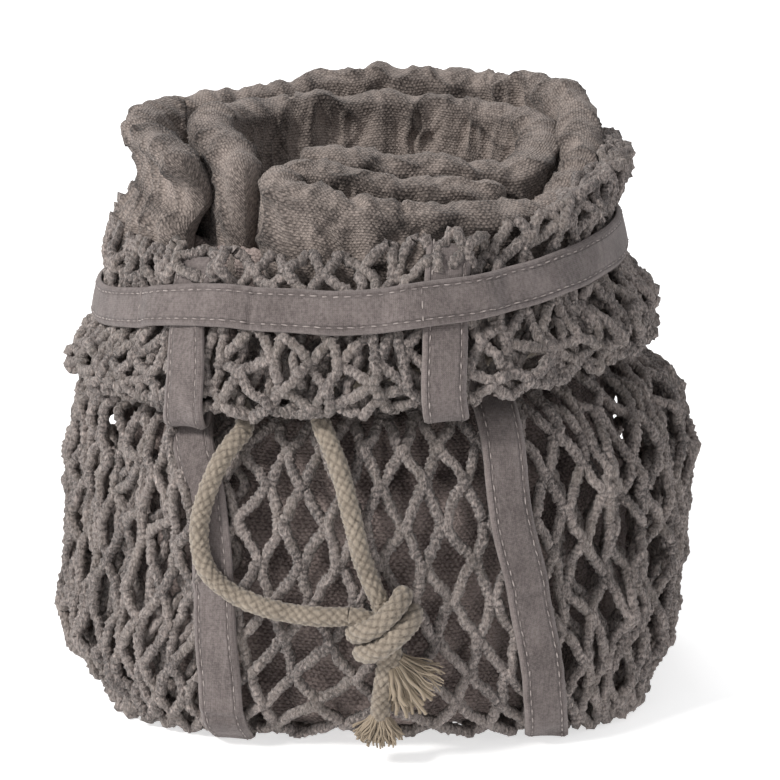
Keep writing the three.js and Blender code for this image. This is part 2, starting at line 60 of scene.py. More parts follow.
# Each ring of the bag's outer face: reach to the left, right, front and back, height, rise
# towards +X, lift towards +Y, and how much squarer than an ellipse it is
BAG_RINGS: dict[str, tuple[float, ...]] = {
    "baseMiddle": (7, 7, 6, 6, 1.6, 0, 0, 0),
    "baseRing": (44, 42, 36, 37, 1.6, 0, 0, 0.2),
    "baseEdge": (75, 76, 62.5, 62.5, 1.6, 0, 0, 0.44),
    "heel": (80.4, 79.6, 69.6, 69.4, 4.2, 0, 0, 0.42),
    "foot": (87.6, 83.4, 76.4, 75, 10.6, 0, 0, 0.34),
    "low": (94, 91, 80, 80, 23, 0, 0, 0.2),
    "belly": (92, 92.8, 81, 81, 45, 0, 0, 0.06),
    "chest": (90.6, 94.8, 80, 79.6, 68, 1, 0, 0),
    "shoulder": (87.4, 87.6, 72.5, 74, 85.5, 4, 0, 0),
    "neckStart": (76.4, 76, 64.4, 66.4, 92.2, 5, 0, 0),
    "neckLow": (67.4, 66, 59.6, 59.8, 96.8, 6, 0, 0),
    "neck": (63.8, 62, 57.6, 57.2, 103.6, 6, 0, 0),
    "neckTop": (65.6, 63.8, 59.4, 59, 108.8, 6, 0, 0),
    "roof": (71.6, 69.6, 65.2, 64.6, 111.4, 6, 0, 0),
    "innerTop": (77, 75, 70.6, 70, 109, 6, 0, 0),
    "innerLayer": (78.4, 76.2, 72, 71.4, 103, 6, 0, 0),
    "hemInner": (80, 77, 72.8, 72, 98.8, 6, 0, 0),
    "hemBottom": (84.4, 78.6, 76.8, 76, 94.8, 6, 0, 0),
    "hemOuter": (88.8, 82.2, 80.4, 79.4, 98.4, 6, 0, 0),
    "cuff": (87, 82.4, 80.2, 79, 105.4, 6.6, 0, 0),
    "bandLow": (79.4, 70.6, 75.8, 74.6, 115.2, 9.6, -0.8, 0),
    "bandHigh": (77.6, 68, 71, 70, 126.6, 10, -0.2, 0),
    "collar": (78.4, 71.6, 66.8, 66, 134.8, 9.2, 2.5, 0.05),
    "rim": (75.4, 74.2, 62.4, 61, 144.8, 8, 6, 0.05),
}

# The band is hitched up where it crosses the left tape: the middle and width of that place, in
# radians, and how far each ring rises there
HITCH_TURN, HITCH_WIDTH = -2.18, 0.5
HITCH_RISE = {"cuff": 1.5, "bandLow": 5.2, "bandHigh": 5.2, "collar": 2.4}

# Half rows of meshes between rings, at the net's real pitch
NET_ZONES: tuple[tuple[str, str, int], ...] = (
    ("baseRing", "low", 6),
    ("low", "neckStart", 7),
    ("neckStart", "neck", 2),
    ("neck", "innerTop", 1),
    ("innerTop", "hemBottom", 2),
    ("hemBottom", "bandLow", 4),
    ("bandLow", "bandHigh", 1),
    ("bandHigh", "rim", 2),
)

# The tapes' reach from the middle plane at each ring: ring, left tape, right tape
STRAP_RUN: tuple[tuple[str, float, float], ...] = (
    ("baseEdge", -38.6, 47.5),
    ("low", -41.5, 45.5),
    ("belly", -42.5, 41),
    ("chest", -44, 36),
    ("shoulder", -47.6, 33.4),
    ("neckStart", -49, 31.4),
    ("neck", -47.6, 27),
    ("innerLayer", -48.5, 21),
    ("hemOuter", -50, 18.5),
    ("bandLow", -49, 18.5),
    ("bandHigh", -48, 19),
    ("rim", -45, 20),
)

# The drawstring's centre line, chosen from the photograph
RING_TURNS = (-88, 223, 12)  # degrees: from, to, step
RING_HEIGHT = 103.9
RING_OUT = 6.9
RIGHT_EXIT = ((-7.6, -66.4, 101.6), (-12, -67, 98.2), (-14.15, -69.7, 93.9))
LEFT_EXIT = ((-41.6, -52.6, 98.9), (-37.2, -58, 95.8), (-35, -61.8, 92.8), (-34.2, -65.5, 90.2))
LEFT_RUN = (
    (-34.8, -67.4, 88.5), (-37.9, -70.2, 85.4), (-40.8, -72.7, 81.3), (-42.8, -74, 77.1),
    (-44.5, -74.8, 72.7), (-45.7, -75.3, 68.3), (-46.3, -75.7, 63.7), (-46.1, -76.1, 59.2),
    (-45.1, -76.9, 54.9), (-42.5, -78.1, 51.1), (-37.8, -79.9, 47.8), (-32, -81.4, 45.3),
    (-25.7, -82.3, 43.6), (-19.5, -83.2, 42.7), (-12.8, -84.1, 42.4), (-6.4, -84.8, 42.8),
)
RIGHT_RUN = (
    (-14, -71.4, 92.4), (-13.2, -72.9, 90.6), (-12.1, -74.5, 88.5), (-10.8, -76.2, 85.8),
    (-9.5, -77.9, 82.9), (-8.4, -79.6, 79.8), (-7.4, -81, 76.5), (-6.5, -82.2, 72.9),
    (-5.6, -83.2, 69.3), (-4.7, -84, 65.6), (-3.8, -84.5, 61.8), (-2.8, -84.8, 58.2),
    (-1.5, -84.9, 54.5), (0.1, -84.9, 50.6), (1.8, -84.9, 46.6),
)

# The knot's strands, which start where the two runs end: the core with the straight tail, the
# side tail, and the two wraps round them
KNOT_STRANDS = (
    (
        (1.8, -84.9, 46.6), (2.8, -85.6, 43.6), (3.2, -86.2, 40), (3.4, -86.4, 36),
        (3.4, -85.2, 30), (2.8, -84.8, 25.6), (2, -84.6, 19.6), (1.7, -84.2, 12.6),
    ),
    (
        (-6.4, -84.8, 42.8), (-3, -85.2, 42.4), (0.6, -85.6, 40.6), (4, -85.8, 36),
        (5.4, -85.2, 31.4), (6, -84.8, 28),
    ),
    (
        (7.2, -82, 48.6), (7.6, -85.2, 48.4), (6.2, -88.2, 47), (3.2, -90.1, 44.2),
        (-0.6, -89.7, 41), (-4.2, -86.8, 38.8), (-5.2, -83.2, 38),
    ),
    (
        (9.8, -82, 44.4), (10.4, -85.2, 43.4), (9.2, -88.3, 41.8), (5.8, -90.4, 39),
        (1.4, -90, 35.4), (-2.4, -87, 33.4), (-3, -83.4, 33),
    ),
)

# The roll's two windings: place seen from above, and the crest's height there
OUTER_WINDING = (
    (-49.5, -37, 159.5), (-59.5, -22, 163), (-65, -1, 164.5), (-60, 20, 164.5), (-41, 36, 166),
    (-14, 43.5, 169), (12, 44.5, 170), (36, 40.5, 170.4), (52.2, 27, 169.6), (58.6, 1, 162.4),
    (52.6, -26.2, 150), (34, -44, 147), (6, -49.4, 148.8), (-17, -48.4, 152.6),
    (-23.3, -46, 154.6), (-25.2, -41, 156), (-23.3, -36, 156.2), (-17, -33.8, 155.8),
    (-2, -34, 153.8), (16, -34.5, 151.5), (36, -28, 150),
)
INNER_WINDING = (
    (-34.8, -39.6, 159), (-40.6, -26, 164), (-46, -5, 165.5), (-42, 14, 164.5), (-27, 27, 164.5),
    (-6, 31.5, 164.5), (14, 32, 164.5), (33, 28, 163.5), (45.5, 14, 161), (47, -4, 157),
    (38, -17, 153.5), (22, -21.5, 154.5), (4, -22, 157.5), (-11, -21, 159.5),
    (-20.5, -21.5, 159.5),
)

# The roll's column inside the bag: reach to the left, right, front and back, and height
CORE_RINGS = (
    (69, 68, 62, 60, 2.8),
    (75, 73, 68, 65, 8.5),
    (74, 73, 69, 63, 38),
    (71, 71, 67, 61, 66),
    (64, 63, 59, 56, 86),
    (58, 56, 52, 51.5, 98),
    (57.5, 56, 51.5, 51, 114),
    (60, 58, 52, 50, 124),
    (59, 57, 50, 47, 132),
)


class Slot(Enum):
    """The record's material slots."""

    KNIT = "knit"
    TAPE = "tape"
    CORD = "cord"
    CLOTH = "cloth"


class Side(Enum):
    """The front or the back of the bag, as the sign of Y."""

    FRONT = -1
    BACK = 1


# Curves and noise


def smooth(t: Array | float) -> Array:
    """Returns the smooth step of t, held to 0 to 1."""
    s = np.clip(t, 0, 1)
    return s * s * (3 - 2 * s)


def along(rows: Array, t: Array) -> Array:
    """Follows a smooth curve through a table's rows.

    Args:
        rows: The table, one row for each point.
        t: Where on the curve, counted in rows.

    Returns:
        One interpolated row for each value of t.
    """
    t = np.asarray(t, float)
    last = len(rows) - 1
    i = np.clip(np.floor(t).astype(int), 0, last - 1)
    s = (t - i)[..., None]
    a, b, c, d = (rows[np.clip(i + k, 0, last)] for k in (-1, 0, 1, 2))
    return b + 0.5 * s * (c - a + s * (2 * a - 5 * b + 4 * c - d + s * (3 * (b - c) + d - a)))


def wobble(points: Array, size: float, seed: float = 0.0) -> Array:
    """Returns smooth noise between about -1 and 1 at points.

    Args:
        points: Points with two or three columns.
        size: The distance over which the noise changes, in the points' units.
        seed: A number that gives another pattern.

    Returns:
        One value for each point.
    """
    flat = np.atleast_2d(np.asarray(points, float)).reshape(-1, np.shape(points)[-1]) / size
    if flat.shape[1] == 2:
        flat = np.column_stack([flat, np.zeros(len(flat))])
    flat = flat + seed * 17.31
    values = np.array([noise.noise(Vector(p)) for p in flat])
    return 1.6 * values.reshape(np.shape(points)[:-1])


def unit(vectors: Array) -> Array:
    """Returns the vectors at length one."""
    return vectors / np.maximum(np.linalg.norm(vectors, axis=-1, keepdims=True), 1e-12)


def bell(offset: Array, width: float) -> Array:
    """Returns a bell curve, 1 where the offset is 0 and 0.37 where it is the width."""
    return np.exp(-((offset / width) ** 2))


def turn_from(start: Array | float, turn: Array) -> Array:
    """Returns the shorter way round from start to each turn, in radians."""
    return np.arctan2(np.sin(turn - start), np.cos(turn - start))


def run_along(points: Array) -> Array:
    """Returns the distance along a line up to each of its points."""
    return np.concatenate([[0], np.cumsum(np.linalg.norm(np.diff(points, axis=0), axis=1))])


def chordal(points: Sequence[Sequence[float]], spacing: float) -> Array:
    """Runs a centripetal Catmull-Rom curve through points, as the part's source does.

    Args:
        points: The route's points.
        spacing: The distance between the points returned.

    Returns:
        Evenly spaced points from the first to the last one.
    """
    p = np.array(points, float)
    p = np.vstack([2 * p[0] - p[1], p, 2 * p[-1] - p[-2]])
    fine: list[Array] = []
    share = np.linspace(0, 1, 40, endpoint=False)[:, None]
    for p0, p1, p2, p3 in zip(p[:-3], p[1:-2], p[2:-1], p[3:]):
        d0, d1, d2 = (max(np.linalg.norm(b - a), 1e-6) ** 0.5 for a, b in ((p0, p1), (p1, p2), (p2, p3)))
        m1 = ((p1 - p0) / d0 - (p2 - p0) / (d0 + d1) + (p2 - p1) / d1) * d1
        m2 = ((p2 - p1) / d1 - (p3 - p1) / (d1 + d2) + (p3 - p2) / d2) * d1
        square = 3 * (p2 - p1) - 2 * m1 - m2
        cube = 2 * (p1 - p2) + m1 + m2
        fine.append(p1 + m1 * share + square * share**2 + cube * share**3)
    line = np.vstack([*fine, p[-2][None]])
    lengths = run_along(line)
    count = max(3, round(lengths[-1] / spacing)) + 1
    where = np.linspace(0, lengths[-1], count)
    return np.column_stack([np.interp(where, lengths, line[:, k]) for k in range(3)])


# Nodes


class Wire:
    """A node's output that takes part in arithmetic by adding Math nodes."""

    def __init__(self, bench: "Bench", socket: bpy.types.NodeSocket) -> None:
        """Wraps a socket of one of the bench's nodes."""
        self.bench = bench
        self.socket = socket

    def _math(self, operation: str, *values: Value) -> "Wire":
        """Returns the output of a Math node on the values, in order."""
        return self.bench.wire("ShaderNodeMath", {"operation": operation}, dict(enumerate(values)))

    def __add__(self, other: Value) -> "Wire":
        """Adds."""
        return self._math("ADD", self, other)

    __radd__ = __add__

    def __sub__(self, other: Value) -> "Wire":
        """Subtracts."""
        return self._math("SUBTRACT", self, other)

    def __rsub__(self, other: Value) -> "Wire":
        """Subtracts this wire from a value."""
        return self._math("SUBTRACT", other, self)

    def __mul__(self, other: Value) -> "Wire":
        """Multiplies."""
        return self._math("MULTIPLY", self, other)

    __rmul__ = __mul__

    def __truediv__(self, other: Value) -> "Wire":
        """Divides."""
        return self._math("DIVIDE", self, other)

    def sine(self) -> "Wire":
        """Returns the sine."""
        return self._math("SINE", self)

    def cosine(self) -> "Wire":
        """Returns the cosine."""
        return self._math("COSINE", self)

    def size(self) -> "Wire":
        """Returns the absolute value."""
        return self._math("ABSOLUTE", self)

    def floor(self) -> "Wire":
        """Returns the whole number below."""
        return self._math("FLOOR", self)


class Bench:
    """Adds nodes to a tree, of a material or of Geometry Nodes."""

    def __init__(self, tree: bpy.types.NodeTree) -> None:
        """Starts on a tree and clears it."""
        self.tree = tree
        tree.nodes.clear()

    def node(
        self,
        kind: str,
        settings: dict[str, object] | None = None,
        inputs: dict[int | str, Value] | None = None,
    ) -> bpy.types.Node:
        """Adds a node.

        Args:
            kind: The node's type.
            settings: Its properties, set first.
            inputs: Values or links for its sockets, by name or index.

        Returns:
            The node.
        """
        made = self.tree.nodes.new(kind)
        for name, value in (settings or {}).items():
            setattr(made, name, value)
        for key, value in (inputs or {}).items():
            self.feed(made.inputs[key], value)
        return made

    def wire(
        self,
        kind: str,
        settings: dict[str, object] | None = None,
        inputs: dict[int | str, Value] | None = None,
        output: int | str = 0,
    ) -> Wire:
        """Adds a node as node() does.

        Args:
            kind: The node's type.
            settings: Its properties.
            inputs: Values or links for its sockets, by name or index.
            output: Which of its outputs to return, by name or index.

        Returns:
            That output.
        """
        return Wire(self, self.node(kind, settings, inputs).outputs[output])

    def feed(self, socket: bpy.types.NodeSocket, value: Value) -> None:
        """Links or sets a socket.

        Args:
            socket: The input to feed.
            value: Another node's output, or a plain value.
        """
        if isinstance(value, Wire):
            self.tree.links.new(value.socket, socket)
        else:
            socket.default_value = value


class Paint(Bench):
    """Builds one procedural material."""

    def __init__(self, name: str) -> None:
        """Makes the material.

        Args:
            name: Its name.
        """
        self.material = bpy.data.materials.new(name)
        self.material.use_nodes = True
        super().__init__(self.material.node_tree)

    def place(self) -> Wire:
        """Returns the Object coordinates, in metres."""
        return self.wire("ShaderNodeTexCoord", output="Object")

    def weave_place(self) -> tuple[Wire, Wire]:
        """Reads the piece's own map.

        Returns:
            The place along and across the cloth, in metres.
        """
        uv = self.wire("ShaderNodeUVMap", {"uv_map": "cloth"})
        split = self.node("ShaderNodeSeparateXYZ", inputs={0: uv})
        return Wire(self, split.outputs[0]), Wire(self, split.outputs[1])

    def stretched(self, place: Wire, scale: tuple[float, float, float]) -> Wire:
        """Returns the place with its axes scaled, so that noise there runs in streaks."""
        return self.wire("ShaderNodeVectorMath", {"operation": "MULTIPLY"}, {0: place, 1: scale})

    def attribute(self, name: str) -> Wire:
        """Returns a number that the mesh stores at its points."""
        return self.wire("ShaderNodeAttribute", {"attribute_name": name}, output="Fac")

    def clouds(self, place: Wire, scale: float, detail: float = 2.0, rough: float = 0.5) -> Wire:
        """Adds noise.

        Args:
            place: Where it is read.
            scale: How many features it has in a metre.
            detail: How many finer layers it has.
            rough: How strong those are.

        Returns:
            A value between 0 and 1.
        """
        return self.wire(
            "ShaderNodeTexNoise",
            inputs={"Vector": place, "Scale": scale, "Detail": detail, "Roughness": rough},
        )

    def blend(self, share: Value, first: Value, second: Value) -> Wire:
        """Mixes two colours.

        Args:
            share: The second one's share.
            first: The first colour.
            second: The second colour.

        Returns:
            The mixed colour.
        """
        first, second = ((*c, 1) if isinstance(c, tuple) else c for c in (first, second))
        settings = {"data_type": "RGBA", "clamp_factor": True}
        return self.wire("ShaderNodeMix", settings, {0: share, 6: first, 7: second}, output=2)

    def ramp(self, value: Value, low: float, high: float) -> Wire:
        """Returns 0 below low, 1 above high and a smooth change between."""
        inputs = {0: value, 1: low, 2: high, 3: 0.0, 4: 1.0}
        return self.wire("ShaderNodeMapRange", {"interpolation_type": "SMOOTHSTEP"}, inputs)

    def bump(self, height: Wire, depth: float, strength: float, under: Wire | None = None) -> Wire:
        """Raises the surface's normal.

        Args:
            height: A height between 0 and 1.
            depth: The distance that 1 stands for, in metres.
            strength: How strongly it shows.
            under: A bumped normal that this one lies on.

        Returns:
            The normal.
        """
        inputs: dict[int | str, Value] = {"Height": height, "Distance": depth, "Strength": strength}
        if under is not None:
            inputs["Normal"] = under
        return self.wire("ShaderNodeBump", inputs=inputs)

    def close(self, colour: Wire, rough: Value, normal: Wire, sheen: float) -> Finish:
        """Finishes the material with its shader and output.

        Args:
            colour: The base colour.
            rough: The roughness.
            normal: The bumped normal.
            sheen: How much light the fuzz of the yarn catches.

        Returns:
            The material.
        """
        shader = self.node(
            "ShaderNodeBsdfPrincipled",
            inputs={
                "Base Color": colour,
                "Roughness": rough,
                "Normal": normal,
                "Sheen Weight": sheen,
                "Sheen Roughness": 0.6,
                "Specular IOR Level": 0.15,
            },
        )
        self.node("ShaderNodeOutputMaterial", inputs={"Surface": Wire(self, shader.outputs[0])})
        return self.material


@dataclass(frozen=True)
class Yarn:
    """Soft knitted cotton: fuzzy and flecked, with faint loops along each strand."""

    name: str = "knitted_yarn"
    light: Colour = (0.53, 0.442, 0.405)
    dark: Colour = (0.052, 0.039, 0.035)
    stitch: float = 1.6 * MM
    fibre: float = 1500.0  # fibre clumps a metre
    sheen: float = 0.25

    def make(self) -> Finish:
        """Builds the finish.

        Returns:
            The material.
        """
        paint = Paint(self.name)
        place = paint.place()
        hanging = paint.stretched(place, (1.0, 1.0, 0.5))
        stray = paint.clouds(place, 260.0, 2.0)
        slant = paint.attribute("run") / self.stitch + paint.attribute("fold") * 0.5 + stray * 1.5
        loops = (slant * (2 * math.pi)).cosine() * 0.5 + 0.5
        fluff = paint.ramp(paint.clouds(hanging, self.fibre, 4.0, 0.7), 0.34, 0.68)
        patches = paint.ramp(paint.clouds(place, 75.0, 2.0), 0.3, 0.7)
        height = loops * 0.25 + fluff * 0.75
        # The tone follows the height of the loops and the fluff: painted shade in the hollows between the
        # loops, with random flecks from the fluff.
        tone = paint.ramp(height * 0.76 + patches * 0.24, 0.0, 1.0)
        colour = paint.blend(tone, self.dark, self.light)
        warm = paint.ramp(paint.clouds(place, 110.0), 0.45, 0.7)
        colour = paint.blend(warm * 0.2, colour, (0.29, 0.24, 0.19))
        normal = paint.bump(height, 0.75 * MM, 1.0)
        return paint.close(colour, 0.95, normal, self.sheen)


@dataclass(frozen=True)
class WovenTape:
    """Flat woven cotton tape with sewn edges."""

    name: str = "woven_tape"
    light: Colour = (0.222, 0.188, 0.18)
    dark: Colour = (0.08, 0.065, 0.062)
    thread: float = 0.5 * MM
    edge: float = 1.8 * MM  # how far in from the edge the stitches run

    def make(self) -> Finish:
        """Builds the finish.

        Returns:
            The material.
        """
        paint = Paint(self.name)
        place = paint.place()
        u, v = paint.weave_place()
        grain = paint.clouds(place, 1300.0, 3.0, 0.75)
        weave = (u * (math.pi / self.thread)).sine().size() * (v * (math.pi / self.thread)).sine().size()
        worn = paint.clouds(place, 90.0, 3.0)
        streak = paint.clouds(paint.stretched(place, (1.0, 1.0, 0.12)), 900.0, 2.0)
        tone = paint.ramp(weave * 0.1 + grain * 0.7 + worn * 0.4 + streak * 0.3, 0.45, 1.05)
        colour = paint.blend(tone, self.dark, self.light)
        across = paint.attribute("edge")
        # A painted highlight along the tape's edges, where they round over.
        rim = 1 - paint.ramp(across, 0.0, 0.9 * MM)
        colour = paint.blend(rim * 0.3, colour, (0.29, 0.245, 0.232))
        # Painted shade along the stitch lines, where the thread sinks the tape.
        line = 1 - paint.ramp((across - self.edge).size(), 0.1 * MM, 0.75 * MM)
        colour = paint.blend(line * 0.35, colour, self.dark)
        sunk = paint.bump(1 - line, 0.5 * MM, 0.7)
        normal = paint.bump(weave * 0.6 + grain * 0.6, 0.25 * MM, 0.6, sunk)
        return paint.close(colour, 0.9, normal, 0.12)


@dataclass(frozen=True)
class Thread:
    """The light thread of the top stitches."""

    name: str = "stitch_thread"
    colour: Colour = (0.38, 0.33, 0.31)

    def make(self) -> Finish:
        """Builds the finish.

        Returns:
            The material.
        """
        paint = Paint(self.name)
        place = paint.place()
        fleck = paint.clouds(place, 500.0, 2.0)
        colour = paint.blend(paint.ramp(fleck, 0.3, 0.7), (0.2, 0.168, 0.16), self.colour)
        normal = paint.bump(paint.clouds(place, 4000.0), 0.1 * MM, 0.4)
        return paint.close(colour, 0.7, normal, 0.1)


@dataclass(frozen=True)
class BraidedCotton:
    """The drawstring's braid, with painted shade in its grooves."""

    name: str = "braided_cord"
    light: Colour = (0.36, 0.302, 0.24)
    dark: Colour = (0.12, 0.095, 0.072)

    def make(self) -> Finish:
        """Builds the finish.

        Returns:
            The material.
        """
        paint = Paint(self.name)
        place = paint.place()
        ridge = paint.attribute("ridge")
        fibre = paint.clouds(place, 1900.0, 3.0, 0.7)
        soil = paint.clouds(place, 120.0, 2.0)
        # The braid's relief sets the tone: painted shade in its grooves. The fibres and the soil vary it at
        # random.
        tone = paint.ramp(ridge * 0.4 + fibre * 0.6 + soil * 0.4, 0.35, 1.1)
        colour = paint.blend(tone, self.dark, self.light)
        normal = paint.bump(fibre, 0.35 * MM, 0.9)
        return paint.close(colour, 0.85, normal, 0.25)


@dataclass(frozen=True)
class CrinkledCloth:
    """Coarse plain weave: light threads that pass over and under each other."""

    name: str = "crinkled_cloth"
    light: Colour = (0.345, 0.287, 0.256)
    dark: Colour = (0.026, 0.02, 0.018)
    thread: float = 1.15 * MM
    pick: float = 0.78 * MM

    def make(self) -> Finish:
        """Builds the finish.

        Returns:
            The material.
        """
        paint = Paint(self.name)
        place = paint.place()
        u, v = paint.weave_place()
        drift = paint.clouds(place, 130.0, 1.0) * (1.2 * MM)
        row = (v + drift) / self.pick
        odd = row.floor() * 0.5
        dash = (((u + drift) / self.thread + odd) * (2 * math.pi)).cosine() * 0.5 + 0.5
        across = (row * math.pi).sine().size()
        weave = dash * 0.55 + across * 0.45
        fleck = paint.ramp(paint.clouds(place, 1100.0, 2.0, 0.65), 0.3, 0.7)
        patches = paint.ramp(paint.clouds(place, 55.0, 2.0), 0.3, 0.7)
        ridge = paint.attribute("ridge")
        # The crinkle's height, stored as ridge, darkens the creases: painted shade between the puffs. The
        # weave, flecks and patches are the cloth's own tone.
        tone = weave * 0.3 + fleck * 0.26 + patches * 0.1 + ridge * 0.6
        colour = paint.blend(paint.ramp(tone, 0.22, 1.1), self.dark, self.light)
        normal = paint.bump(weave * 0.6 + fleck * 0.5, 0.5 * MM, 0.9)
        return paint.close(colour, 0.95, normal, 0.1)


@dataclass(frozen=True)
class FrayedFibre:
    """Pale loose fibres of the cord's open ends."""

    name: str = "frayed_fibre"
    light: Colour = (0.6, 0.53, 0.42)
    dark: Colour = (0.3, 0.24, 0.175)

    def make(self) -> Finish:
        """Builds the finish.

        Returns:
            The material.
        """
        paint = Paint(self.name)
        place = paint.place()
        fibre = paint.clouds(place, 700.0, 2.0, 0.6)
        tone = paint.ramp(paint.attribute("ridge") * 0.6 + fibre * 0.7, 0.45, 1.05)
        colour = paint.blend(tone, self.dark, self.light)
        return paint.close(colour, 0.85, paint.bump(fibre, 0.15 * MM, 0.5), 0.2)


@dataclass(frozen=True)
class PaleFloor:
    """The plain floor."""

    name: str = "pale_floor"
    colour: Colour = (0.7, 0.7, 0.7)
    glow: float = 0.62

    def make(self) -> Finish:
        """Builds the finish.

        Returns:
            The material.
        """
        paint = Paint(self.name)
        grain = paint.clouds(paint.place(), 400.0)
        near = tuple(0.985 * c for c in self.colour)
        colour = paint.blend(grain, self.colour, near)
        finished = paint.close(colour, 0.9, paint.bump(grain, 0.02 * MM, 0.1), 0.0)
        shader = finished.node_tree.nodes["Principled BSDF"]
        shader.inputs["Emission Color"].default_value = (1.0, 1.0, 1.0, 1.0)
        shader.inputs["Emission Strength"].default_value = self.glow
        return finished


# Pieces


def store_numbers(mesh: bpy.types.Mesh, numbers: dict[str, Array]) -> None:
    """Stores numbers at a mesh's points.

    Args:
        mesh: The mesh.
        numbers: One number for each point, by the name to store them under.
    """
    for name, values in numbers.items():
        stored = mesh.attributes.new(name, "FLOAT", "POINT")
        stored.data.foreach_set("value", np.asarray(values, np.float32).ravel())


def place_object(name: str, data: bpy.types.ID) -> Piece:
    """Adds an object to the scene.

    Args:
        name: Its name.
        data: Its mesh, camera or light.

    Returns:
        The object, at the origin.
    """
    made = bpy.data.objects.new(name, data)
    bpy.context.scene.collection.objects.link(made)
    return made


def grid_faces(count: int, sides: int, ring: bool, tube: bool) -> Array:
    """Joins a grid of points by quads.

    Args:
        count: How many points lie along the grid.
        sides: How many lie across it.
        ring: Whether the grid closes on itself along its length.
        tube: Whether it closes on itself across.

    Returns:
        Rows of four point numbers.
    """
    i, k = np.meshgrid(np.arange(count - (not ring)), np.arange(sides - (not tube)), indexing="ij")
    n, m = (i + 1) % count, (k + 1) % sides
    corners = [i * sides + k, n * sides + k, n * sides + m, i * sides + m]
    return np.stack(corners, axis=-1).reshape(-1, 4)


def plain_mesh(
    name: str,
    points: Array,
    faces: Sequence[Sequence[int]],
    material: Finish,
    numbers: dict[str, Array] | None = None,
    cloth_map: Array | None = None,
) -> Piece:
    """Makes a smooth mesh object at the origin.

    Args:
        name: The piece's name.
        points: Its vertices, in millimetres.
        faces: Its quads or triangles, as rows of vertex numbers.
        material: Its finish.
        numbers: Numbers to store at the points, by name.
        cloth_map: A place on the cloth for each vertex, in millimetres.

    Returns:
        The object.
    """
    mesh = bpy.data.meshes.new(name)
    mesh.from_pydata((np.asarray(points) * MM).tolist(), [], [list(map(int, face)) for face in faces])
    mesh.polygons.foreach_set("use_smooth", np.ones(len(mesh.polygons), bool))
    store_numbers(mesh, numbers or {})
    if cloth_map is not None:
        corners = np.zeros(len(mesh.loops), np.int32)
        mesh.loops.foreach_get("vertex_index", corners)
        layer = mesh.uv_layers.new(name="cloth")
        layer.data.foreach_set("uv", (np.asarray(cloth_map)[corners] * MM).astype(np.float32).ravel())
    mesh.materials.append(material)
    mesh.update()
    return place_object(name, mesh)


def settle(piece: Piece, nodes: Sequence[str] = ()) -> Piece:
    """Fixes a finished piece to the bag and reports it.

    Args:
        piece: The finished mesh object.
        nodes: The solids that it stands for.

    Returns:
        The piece.
    """
    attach(piece, ROOT)
    if nodes:
        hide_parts(*nodes)
    LOG.info("%s: %d faces", piece.name, len(piece.data.polygons))
    return piece


def guide_mesh(name: str, lines: Sequence[Array], numbers: dict[str, Array]) -> Piece:
    """Makes an object of open polylines for a Geometry Nodes tree to follow.

    Args:
        name: The name of the piece that it is a guide for.
        lines: The lines' points, in millimetres.
        numbers: Numbers to store at the points, all lines in order.

    Returns:
        The object.
    """
    points = np.vstack(lines) * MM
    edges: list[tuple[int, int]] = []
    first = 0
    for line in lines:
        edges += [(first + i, first + i + 1) for i in range(len(line) - 1)]
        first += len(line)
    mesh = bpy.data.meshes.new(name + "_guide")
    mesh.from_pydata(points.tolist(), edges, [])
    store_numbers(mesh, numbers)
    return place_object(name + "_guide", mesh)


